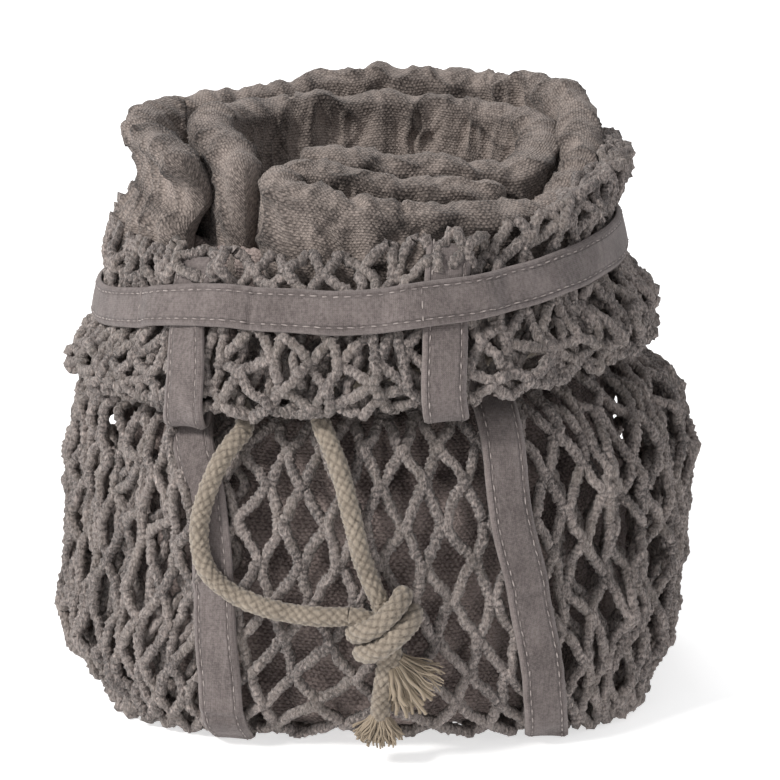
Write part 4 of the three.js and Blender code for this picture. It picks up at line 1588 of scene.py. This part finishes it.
@dataclass
class Tapes:
    """The band round the mouth and the two long tapes, with their top stitches."""

    skin: Skin
    straps: StrapLine
    width: float = 12.0
    thick: float = 1.2
    seat: float = 0.4
    strap_steps: int = 260
    band_steps: int = 600
    stitch_pitch: float = 2.95
    stitch_length: float = 1.9
    stitch_thick: float = 0.42
    left_creases: tuple[float, ...] = (152, 186, 262, 300)
    right_creases: tuple[float, ...] = (118, 152, 171, 262, 296)
    band_creases: tuple[float, ...] = (40, 205, 322)
    band_seams: tuple[float, ...] = (-62.2, 12.3)

    def strap_stand(self, climb: Array) -> Array:
        """Says how far a strap stands off the net.

        Args:
            climb: The height, counted in rings.

        Returns:
            The gap.
        """
        ring = self.skin.ring
        recess = smooth(climb + 1 - ring("shoulder")) * smooth(ring("hemOuter") - climb)
        roof = smooth(climb - ring("neck")) * smooth(ring("hemInner") - climb)
        return self.seat + 0.86 * recess + roof

    def strap_run(self, strap: int, side: Side, steps: int) -> tuple[Array, ...]:
        """Follows one strap up the front or the back.

        Args:
            strap: 0 for the left tape and 1 for the right one.
            side: The front or the back.
            steps: How many sections to cut.

        Returns:
            The middle points, normals and directions across.
        """
        start, end = self.skin.ring("baseEdge"), self.skin.ring("rim") - 0.55
        climb = np.linspace(start, end, steps + 1)

        def turn_of(where: Array) -> Array:
            """Returns the strap's turn round the bag."""
            return self.skin.turn_at(where, self.straps.reach(where)[..., strap], side)

        def place(where: Array) -> Array:
            """Returns the strap's middle on the skin."""
            return self.skin.point(where, turn_of(where))

        turn = turn_of(climb)
        level = 1 - smooth((climb - start - 0.35) / 0.8)[:, None]
        normal = unit(self.skin.normal(climb, turn) * (1 - level) + np.array([0, 0, -1.0]) * level)
        ahead = place(np.minimum(end, climb + 0.05)) - place(np.maximum(start, climb - 0.05))
        across = unit(np.cross(ahead, normal)) * -side.value
        middle = place(climb) + normal * self.strap_stand(climb)[:, None]
        return middle, normal, across

    def strap(self, name: str, strap: int, creases: Sequence[float]) -> Ribbon:
        """Runs a long tape from the front of the mouth, under the bottom, to its back.

        Args:
            name: Its name.
            strap: 0 for the left tape and 1 for the right one.
            creases: How far along it is creased.

        Returns:
            The tape.
        """
        front = [part[::-1] for part in self.strap_run(strap, Side.FRONT, self.strap_steps)]
        back = self.strap_run(strap, Side.BACK, self.strap_steps)
        under = np.linspace(0, 1, 42)[1:-1, None]
        middle, normal, across = (
            np.vstack([first, first[-1] * (1 - under) + second[0] * under, second])
            for first, second in zip(front, back)
        )
        width = np.full(len(middle), self.width)
        made = Ribbon(name, middle, unit(normal), unit(across), width, False, self.thick)
        made.seed, made.creases = 5.0 + strap, creases
        return made

    def band_stand(self, climb: float, turn: Array) -> Array:
        """Says how far the band stands off the net: more where it crosses a strap.

        Args:
            climb: The height, counted in rings.
            turn: The turn round the bag.

        Returns:
            The gap.
        """
        stand = np.full_like(turn, self.seat)
        reach = self.straps.reach(np.array(climb))
        for strap in (0, 1):
            for side in Side:
                crossing = self.skin.turn_at(np.array(climb), reach[strap], side)
                away = np.abs(turn_from(crossing, turn))
                stand = stand + (self.thick + 1.8 * self.seat) * (1 - smooth((away - 0.15) / 0.1))
        return stand

    def band(self) -> Ribbon:
        """Runs the closed tape round the mouth.

        Returns:
            The tape.
        """
        turn = np.linspace(0, 2 * math.pi, self.band_steps, endpoint=False)
        edges = []
        for name in ("bandLow", "bandHigh"):
            climb = self.skin.ring(name)
            edges.append(self.skin.off(np.full_like(turn, climb), turn, self.band_stand(climb, turn)))
        low, high = edges
        middle = (low + high) / 2
        across = unit(high - low)
        normal = unit(np.cross(np.roll(middle, -1, axis=0) - np.roll(middle, 1, axis=0), across))
        width = np.linalg.norm(high - low, axis=1)
        made = Ribbon("mouth_tape", middle, normal, across, width, True, self.thick)
        made.seed, made.creases, made.seams = 9.0, self.band_creases, self.band_seams
        return made

    def stitches(self, ribbons: Sequence[Ribbon], thread: Finish) -> Piece:
        """Sews the top stitches along all the tapes' edges.

        Args:
            ribbons: The tapes.
            thread: The stitches' finish.

        Returns:
            The stitches as one piece.
        """
        lines = [line for ribbon in ribbons for line in ribbon.stitch_lines()]
        guide = guide_mesh("top_stitches", lines, {})
        sizes = {"Pitch": self.stitch_pitch, "Width": self.stitch_thick / 2, "Length": self.stitch_length / 2}
        loom = Loom("top_stitches", {name: size * MM for name, size in sizes.items()})
        curve = loom.smooth_lines(loom.input("Pitch"))
        bead = loom.wire("GeometryNodeMeshUVSphere", inputs={"Segments": 6, "Rings": 5, "Radius": 1.0})
        jitter = loom.random_vector((-0.13, -0.13, -0.13), (0.13, 0.13, 0.13), 4)
        inputs = {0: loom.wire("GeometryNodeInputTangent"), 1: jitter}
        aim = loom.wire("ShaderNodeVectorMath", {"operation": "ADD"}, inputs)
        turned = loom.wire("FunctionNodeAlignRotationToVector", {"axis": "Z"}, {"Vector": aim})
        width = loom.input("Width")
        size = loom.wire("ShaderNodeCombineXYZ", inputs={0: width, 1: width, 2: loom.input("Length")})
        inputs = {0: loom.random_vector((0.8, 0.8, 0.75), (1.15, 1.15, 1.15), 7), 1: size}
        grown = loom.wire("ShaderNodeVectorMath", {"operation": "MULTIPLY"}, inputs)
        inputs = {"Points": curve, "Instance": bead, "Rotation": turned, "Scale": grown}
        loom.close(loom.wire("GeometryNodeInstanceOnPoints", inputs=inputs), thread)
        return loom.weave("top_stitches", guide, thread)


# The drawstring


@dataclass
class BraidedTube:
    """A braided cord along a smooth route."""

    name: str
    line: Array  # evenly spaced points
    diameter: float = 5.4
    around: int = 48
    carriers: int = 6
    pick: float = 2.8  # the length of one crossing
    relief: float = 0.55
    fuzz: float = 0.1  # how far single points stray
    stray: float = 0.7  # how far the crossings stray along the cord
    swell: float = 0.12  # how much its thickness changes
    open_ends: tuple[bool, bool] = (False, False)  # which ends are rounded off

    def frames(self) -> tuple[Array, Array]:
        """Frames the line.

        Returns:
            Two directions across the line that don't twist along it.
        """
        tangent = unit(np.gradient(self.line, axis=0))
        side = unit(np.cross(tangent[0], [0.1, 0.3, 1.0]))
        sides = [side]
        for t in tangent[1:]:
            side = unit(side - t * side.dot(t))
            sides.append(side)
        first = np.array(sides)
        return first, np.cross(tangent, first)

    def height(self, turn: Array, run: Array) -> Array:
        """Braids the strands over and under each other.

        Args:
            turn: The turn round the cord.
            run: The distance along it.

        Returns:
            The relief, between 0 and 1.
        """
        a = self.carriers * turn / (2 * math.pi) + run / self.pick
        b = self.carriers * turn / (2 * math.pi) - run / self.pick
        ridge_a, ridge_b = (np.sin(math.pi * np.mod(v, 1)) ** 0.7 for v in (a, b))
        over = np.mod(np.floor(a) + np.floor(b), 2) < 1
        return np.where(over, ridge_a * (0.45 + 0.55 * ridge_b), ridge_b * (0.45 + 0.55 * ridge_a))

    def build(self, material: Finish) -> Piece:
        """Builds the cord as a closed mesh with rounded ends.

        Args:
            material: Its finish.

        Returns:
            The object.
        """
        first, second = self.frames()
        count = len(self.line)
        spacing = np.linalg.norm(self.line[1] - self.line[0])
        run = np.arange(count) * spacing
        turn = np.linspace(0, 2 * math.pi, self.around, endpoint=False)
        grid_turn, grid_run = np.meshgrid(turn, run)
        strayed = self.stray * wobble(self.line, 4.0, count + 1.0)[:, None]
        lift = self.height(grid_turn + 0.1 * strayed, grid_run + strayed)
        taper = np.ones(count)
        for is_open, away in zip(self.open_ends, (np.arange(count), np.arange(count)[::-1])):
            if is_open:
                taper = np.minimum(taper, np.sqrt(np.clip(away * spacing / 2.0, 0.1, 1)))
        fuzz = np.random.default_rng(count).normal(0, self.fuzz, grid_turn.shape)
        swell = self.swell * wobble(self.line, 5.0, count)[:, None]
        radius = (self.diameter / 2 - self.relief * (1 - lift) + fuzz + swell) * taper[:, None]
        out = np.cos(grid_turn)[..., None] * first[:, None] + np.sin(grid_turn)[..., None] * second[:, None]
        points = (self.line[:, None] + out * radius[..., None]).reshape(-1, 3)
        faces = np.roll(grid_faces(count, self.around, False, True)[:, ::-1], 1, axis=1).tolist()
        last = len(points) - self.around
        faces += [list(range(self.around))[::-1], list(range(last, len(points)))]
        # The relief is stored as ridge for the finish's painted shade in the grooves.
        return plain_mesh(self.name, points, faces, material, {"ridge": lift})


@dataclass
class Tuft:
    """A frayed end: fibres that fan out of the cord."""

    name: str
    root: tuple[float, float, float]
    tip: tuple[float, float, float]
    spread: float
    fibres: int
    thick: float
    seed: int
    knots: int = 9  # guide points of each fibre
    spacing: float = 0.75
    lowest: float = 0.9  # no fibre reaches lower

    def build(self, material: Finish) -> Piece:
        """Builds the fibres as one mesh.

        Args:
            material: Their finish.

        Returns:
            The object.
        """
        draw = np.random.default_rng(self.seed)
        root, tip = np.array(self.root), np.array(self.tip)
        fall = unit(tip - root)
        side = unit(np.cross(fall, [0, 1.0, 0]))
        depth = np.cross(side, fall)
        lines = []
        for _ in range(self.fibres):
            share = draw.uniform(-1, 1)
            reach = np.linalg.norm(tip - root) * (1.04 - 0.3 * share**2) * draw.uniform(0.62, 1.03)
            t = np.linspace(0, 1, self.knots)[:, None]
            start = side * share * 2.1 + depth * draw.uniform(-1.8, 1.8)
            fan = side * self.spread * share * t**1.3 + depth * draw.normal(0, 1.0) * t
            curl = side * 0.55 * np.sin(t * draw.uniform(5, 10) + draw.uniform(0, 6))
            line = root + start + fall * reach * t + fan + (curl + depth * draw.normal(0, 0.4) * t**2) * t
            line[:, 2] = np.maximum(line[:, 2], self.lowest)
            lines.append(line)
        girth = np.tile(np.linspace(1.15, 0.45, self.knots), self.fibres)
        guide = guide_mesh(self.name, lines, {"girth": girth})
        loom = Loom("frayed_fibres", {"Radius": self.thick / 2 * MM, "Spacing": self.spacing * MM})
        tube = loom.tube(loom.smooth_lines(loom.input("Spacing")), loom.circle(5))
        shade = loom.wire("FunctionNodeRandomValue", {"data_type": "FLOAT"}, {2: 0.45, 3: 1.0, "Seed": 2})
        tube = loom.store(tube, "ridge", shade)
        loom.close(tube, material)
        return loom.weave(self.name, guide, material)


@dataclass
class Drawstring:
    """The cord round the neck, its two free runs, and the knot with its frayed tails."""

    skin: Skin
    diameter: float = 5.4
    spacing: float = 0.42

    def ring_route(self) -> list[tuple[float, ...]]:
        """Routes the held part.

        Returns:
            Its points.
        """
        route = list(reversed(RIGHT_EXIT))
        neck = np.array(float(self.skin.ring("neck")))
        rise = BAG_RINGS["neck"][5]
        for turn in np.radians(np.arange(RING_TURNS[0], RING_TURNS[1] + 1, RING_TURNS[2])):
            x, y, _ = self.skin.point(neck, np.array(turn))
            c, s = math.cos(turn), math.sin(turn)
            route.append((x + RING_OUT * c, y + RING_OUT * s, RING_HEIGHT + rise * c))
        return [RIGHT_RUN[0], *route, *LEFT_EXIT, LEFT_RUN[0]]

    def free_cord(
        self,
        name: str,
        route: Sequence[tuple[float, ...]],
        braid: Finish,
    ) -> None:
        """Args:
            name: Its name, that of its solid with "free" for "cord".
            route: Its points, from the hem to the knot.
            braid: Its finish.
        """
        line = chordal(route, self.spacing)
        made = BraidedTube(name, line, self.diameter).build(braid)
        settle(made, [name.replace("free", "cord")])
        self.diameter * MM

    def build(self, braid: Finish, frayed: Finish) -> None:
        """Makes every piece of the drawstring.

        Args:
            braid: The cord's finish.
            frayed: The finish of its open ends.
        """
        held = BraidedTube("held_cord", chordal(self.ring_route(), 0.8), self.diameter, around=24)
        settle(held.build(braid), ["drawstring"])
        for i, route in enumerate(KNOT_STRANDS):
            ends = (False, True) if i < 2 else (True, True)
            thick = self.diameter * (1.0 if i < 2 else 1.08)
            tube = BraidedTube(f"knot_strand_{i + 1}", chordal(route, self.spacing), thick, open_ends=ends)
            settle(tube.build(braid), ["cord_knot"])
        tufts = (
            Tuft("straight_tuft", (1.7, -84.4, 15.0), (1.0, -84.2, 6.2), 4.6, 230, 0.5, 11),
            Tuft("side_tuft", (5.6, -85.6, 29.4), (11.4, -85.4, 15.4), 4.2, 34, 1.0, 12),
            Tuft("side_wisps", (6.4, -85.4, 31.0), (16.4, -84.8, 21.0), 5.0, 60, 0.42, 13),
        )
        for tuft in tufts:
            settle(tuft.build(frayed))
        self.free_cord("free_left", LEFT_RUN, braid)
        self.free_cord("free_right", RIGHT_RUN, braid)


# The rolled cloth


@dataclass
class RolledCloth:
    """The puckered cloth: its column inside the bag and the windings that stand out of the mouth."""

    thick: float = 11.5
    wall_foot: float = 122.0
    cell_width: float = 11.0
    cell_height: float = 15.0
    puff: float = 2.0
    tuck: float = 1.5
    groove: float = 0.9
    crease: float = 1.3
    spacing: float = 0.88
    end_round: float = 5.5  # how far from its end a fold starts to narrow
    lean_foot: float = 136.0  # a leaning fold stands straight below here
    lean_run: tuple[float, float] = (45.0, 85.0)  # along the route, where the lean fades out
    lid_rings: int = 14  # rings of the column's flat top
    column_steps: int = 280

    def pucker(self, u: Array, v: Array, seed: float) -> Array:
        """Returns the crinkle's height over the cloth, in puffed panels between pinched tucks.

        Args:
            u: The distance along the cloth.
            v: The distance across it.
            seed: A number that gives another pattern.

        Returns:
            The height, from about -3 to 3.
        """
        place = np.stack([u, v], axis=-1)
        u = u + 3.0 * wobble(place, 17.0, seed) + 1.0 * wobble(place, 6.0, seed + 1)
        v = v + 2.8 * wobble(place, 14.0, seed + 2) + self.cell_height / 2
        row = np.floor(v / self.cell_height)
        x = np.mod(u / self.cell_width + 0.5 * row, 1) - 0.5
        y = np.mod(v / self.cell_height, 1) - 0.5
        column = np.round(u / self.cell_width + 0.5 * row)
        strength = 0.5 + 1.1 * wobble(np.stack([column * 1.37, row * 1.71], axis=-1), 1.0, seed + 3)
        puff = (1 - np.abs(2 * x) ** 2.4) * (1 - np.abs(2 * y) ** 2.8)
        edge = (0.5 - np.abs(x)) * self.cell_width
        within = smooth((0.44 - np.abs(y)) / 0.14)
        tuck = bell(edge, 1.25) * within * strength
        groove = bell(edge - 2.4, 0.95) * within * (0.5 + 0.6 * np.abs(strength))
        broad = wobble(place, 13.0, seed + 4)
        fold = (1 - np.minimum(np.abs(broad) * 2.2, 1)) ** 3
        fine = wobble(place, 4.2, seed + 5)
        height = self.puff * puff + self.tuck * tuck - self.groove * groove - self.crease * fold
        return height + 0.8 * wobble(place, 9.0, seed + 6) + 0.2 * fine - 0.7

    def sheet(
        self,
        name: str,
        points: Array,
        u: Array,
        v: Array,
        seed: float,
        cloth: Finish,
        depth: Array | float = 1.0,
        closed: bool = False,
    ) -> Piece:
        """Crinkles a grid of points along its normals and closes its ends.

        Args:
            name: The piece's name.
            points: A grid of points: along, then across.
            u: The distance along the cloth at each point.
            v: The distance across it.
            seed: A number that gives another crinkle.
            cloth: The finish.
            depth: How deep the crinkle is, 1 for its full depth.
            closed: Whether the grid closes on itself along its first direction.

        Returns:
            The object.
        """
        count, sides = points.shape[:2]
        if closed:
            ahead = np.roll(points, -1, axis=0) - np.roll(points, 1, axis=0)
        else:
            ahead = np.gradient(points, axis=0)
        normal = unit(np.cross(ahead, np.gradient(points, axis=1)))
        height = self.pucker(u, v, seed) * depth
        points = points + normal * height[..., None]
        faces = grid_faces(count, sides, closed, False).tolist()
        if closed:
            middle = np.arange(count)
            faces += [middle[::-1] * sides, middle * sides + sides - 1]
        else:
            for a, b in ((k, sides - 1 - k) for k in range((sides - 1) // 2)):
                lid = [a, a + 1, b - 1, b] if b - a > 2 else [a, a + 1, b]
                faces += [lid, [(count - 1) * sides + k for k in reversed(lid)]]
            low = np.arange(count - 1) * sides
            high = low + sides - 1
            faces += np.column_stack([high, high + sides, low + sides, low]).tolist()
        # The crinkle's height, kept for the cloth's painted shade in its creases.
        ridge = np.clip(0.5 + 0.24 * height, 0, 1)
        cloth_map = np.stack([u, v], axis=-1).reshape(-1, 2)
        return plain_mesh(name, points.reshape(-1, 3), faces, cloth, {"ridge": ridge}, cloth_map)

    def winding(
        self,
        name: str,
        route: Sequence[tuple[float, ...]],
        seed: float,
        cloth: Finish,
        lean: float = 0.0,
    ) -> Piece:
        """Builds a standing fold of the cloth along a route, over its crest and down both faces.

        Args:
            name: The piece's name.
            route: Where it stands and how high its crest is.
            seed: A number that gives another crinkle.
            cloth: The finish.
            lean: How far its start draws in lower down.

        Returns:
            The object.
        """
        rows = np.array(route, float)
        fine = along(rows, np.linspace(0, len(rows) - 1, 40 * len(rows)))
        lengths = run_along(fine[:, :2])
        run = np.linspace(0, lengths[-1], int(lengths[-1] / self.spacing))
        x, y, crest = (np.interp(run, lengths, fine[:, k]) for k in range(3))
        line = np.column_stack([x, y, np.zeros(len(run))])
        across = unit(np.cross(np.gradient(line, axis=0), [0, 0, 1.0]))
        place = np.column_stack([run, run * 0])
        share = np.clip(np.minimum(run, run[-1] - run) / self.end_round, 0, 1)
        close = np.sqrt(np.clip(share * (2 - share), 0.0001, 1))
        half = self.thick / 2 * close * (1 + 0.14 * wobble(place, 12.0, seed))
        crest = crest + 1.2 * wobble(place, 9.0, seed + 5) + 1.1 * wobble(place, 22.0, seed + 7) - 0.8
        crest = crest - 3.0 * (1 - close)
        sway = 1.3 * wobble(place, 13.0, seed + 8) * close
        arc = math.pi / 2 * half
        reach = (arc + crest - half - self.wall_foot)[:, None]
        v = np.linspace(-1, 1, int(2 * reach.max() / self.spacing) // 2 * 2)[None] * reach
        bend = np.clip(v / arc[:, None], -1, 1) * math.pi / 2
        down = half[:, None] * (1 - np.cos(bend)) + np.maximum(np.abs(v) - arc[:, None], 0)
        z = crest[:, None] - down
        fold_in = smooth((crest[:, None] - 0.5 - z) / 11) * smooth((z - self.lean_foot) / 8)
        near, far = self.lean_run
        draw = lean * smooth((far - run[:, None]) / (far - near)) * (fold_in - 0.32)
        aside = half[:, None] * np.sin(bend) + sway[:, None] + draw
        points = line[:, None] + across[:, None] * aside[..., None]
        points[..., 2] = z
        grid_run = np.broadcast_to(run[:, None], v.shape)
        depth = smooth(share * 1.2)[:, None] * (0.55 + 0.45 * smooth(np.abs(v) / 7))
        return self.sheet(name, points, grid_run, v, seed, cloth, depth)

    def column(self, cloth: Finish) -> Piece:
        """Builds the roll's column inside the bag, closed above and below.

        Args:
            cloth: The finish.

        Returns:
            The object.
        """
        rows = np.array(CORE_RINGS, float)
        levels = along(rows, np.linspace(0, len(rows) - 1, 86))
        discs = []
        for level, inward in (
            (levels[0], np.array([0.02, 0.35, 0.7])),
            (levels[-1], np.linspace(0.94, 0.02, self.lid_rings)),
        ):
            discs.append(np.column_stack([np.outer(inward, level[:4]), np.full(len(inward), level[4])]))
        levels = np.vstack([discs[0], levels, discs[1]])
        turn = np.linspace(0, 2 * math.pi, self.column_steps, endpoint=False)[:, None]
        c, s = np.cos(turn), np.sin(turn)
        left, right, front, back, z = levels.T[:, None]
        x, y = np.where(c > 0, right, left) * c, np.where(s > 0, back, front) * s
        points = np.stack(np.broadcast_arrays(x, y, z), axis=-1)
        u = np.broadcast_to(turn * 54, points.shape[:2])
        v = np.broadcast_to(run_along(levels)[None] * 0.75, points.shape[:2])
        flat = np.arange(len(levels)) >= len(levels) - self.lid_rings
        u, v = np.where(flat, points[..., 0], u), np.where(flat, points[..., 1], v)
        depth = 0.15 + 0.85 * smooth((points[..., 2] - 3) / 10)
        return self.sheet("roll_column", points, u, v, 31.0, cloth, depth, closed=True)

    def build(self, cloth: Finish, inner: Finish) -> None:
        """Makes the roll's pieces.

        Args:
            cloth: The finish of the windings.
            inner: A lighter copy of the cloth's finish for the column, painted light that lifts it where the
                net shades it.
        """
        made = [
            self.winding("roll_outer", OUTER_WINDING, 21.0, cloth, lean=6.2),
            self.winding("roll_inner", INNER_WINDING, 26.0, cloth),
            self.column(inner),
        ]
        for piece in made:
            settle(piece, ["rolled_cloth"])


# The studio


def point(made: Piece, place: Sequence[float], direction: Vector) -> None:
    """Stands a lamp or camera at a place and turns it in a direction.

    Args:
        made: The lamp or camera.
        place: Where it stands, in metres.
        direction: Where it looks.
    """
    made.location = place
    made.rotation_mode = "QUATERNION"
    made.rotation_quaternion = direction.to_track_quat("-Z", "Y")


@dataclass(frozen=True)
class Lamp:
    """A soft area light."""

    name: str
    place: tuple[float, float, float]
    size: float
    power: float
    colour: Colour = (1.0, 1.0, 1.0)

    def build(self, aim: Vector) -> None:
        """Adds the light.

        Args:
            aim: Where it points.
        """
        data = bpy.data.lights.new(self.name, "AREA")
        data.shape = "DISK"
        data.size = self.size
        data.energy = self.power
        data.color = self.colour
        point(place_object(self.name, data), self.place, aim - Vector(self.place))


@dataclass(frozen=True)
class Studio:
    """The camera at the photograph's angle, the pale floor and the soft light."""

    elevation: float = 15.0  # degrees above the horizon
    distance: float = 0.8
    aim: tuple[float, float, float] = (0.00435, 0.0, 0.082)
    lens: float = 127.3
    backdrop: Colour = (0.97, 0.98, 1.0)
    glow: float = 0.54
    lamps: tuple[Lamp, ...] = (
        Lamp("key_lamp", (-1.2, -0.87, 1.25), 0.4, 31.0, (1.0, 0.985, 0.96)),
        Lamp("back_lamp", (-0.3, 1.6, 1.5), 0.8, 9.0),
    )

    def build(self) -> None:
        """Sets up the camera, the light and the floor."""
        aim = Vector(self.aim)
        angle = math.radians(self.elevation)
        back = Vector((0, -math.cos(angle), math.sin(angle)))
        data = bpy.data.cameras.new("camera")
        data.lens = self.lens
        data.sensor_width = 36.0
        data.clip_start, data.clip_end = 0.01, 50.0
        camera = place_object("camera", data)
        point(camera, aim + back * self.distance, -back)
        bpy.context.scene.camera = camera
        for lamp in self.lamps:
            lamp.build(aim)
        world = bpy.data.worlds.new("studio")
        world.use_nodes = True
        sky = world.node_tree.nodes["Background"]
        sky.inputs["Color"].default_value = (*self.backdrop, 1)
        sky.inputs["Strength"].default_value = self.glow
        bpy.context.scene.world = world
        bpy.context.scene.view_settings.view_transform = "Standard"
        self.floor()

    def floor(self) -> None:
        """Lays a wide floor that rises behind the object."""
        start, bend = 1.6, 0.8
        turns = np.radians(np.arange(10, 91, 10))
        profile = [(-3.0, 0.0), (start, 0.0)]
        profile += [(start + bend * math.sin(turn), bend - bend * math.cos(turn)) for turn in turns]
        profile.append((start + bend, 3.0))
        points = [(x, y, z) for y, z in profile for x in (-4.0, 4.0)]
        faces = [(2 * i, 2 * i + 1, 2 * i + 3, 2 * i + 2) for i in range(len(profile) - 1)]
        made = plain_mesh("floor", np.array(points) / MM, np.array(faces), PaleFloor().make())


def main() -> None:
    """Builds the studio and every piece of the bag, in order."""
    logging.basicConfig(level=logging.INFO, format="%(name)s %(message)s")
    Studio().build()
    skin = Skin()
    straps = StrapLine(skin)
    Drawstring(skin).build(BraidedCotton().make(), FrayedFibre().make())
    tape, thread = WovenTape().make(), Thread().make()
    tapes = Tapes(skin, straps)
    ribbons = [
        tapes.band(),
        tapes.strap("left_tape", 0, tapes.left_creases),
        tapes.strap("right_tape", 1, tapes.right_creases),
    ]
    for ribbon, node in zip(ribbons, ("mouth_band", "strap_left", "strap_right")):
        settle(ribbon.build(tape), [node])
    settle(tapes.stitches(ribbons, thread))
    Net(skin, straps).build(Yarn().make())
    # A lighter copy of the cloth: painted light for the column, which the net shades.
    inner = CrinkledCloth("lit_inner_cloth", light=(0.4, 0.322, 0.296), dark=(0.056, 0.04, 0.037))
    RolledCloth().build(CrinkledCloth().make(), inner.make())


if __name__ == "__main__":
    main()
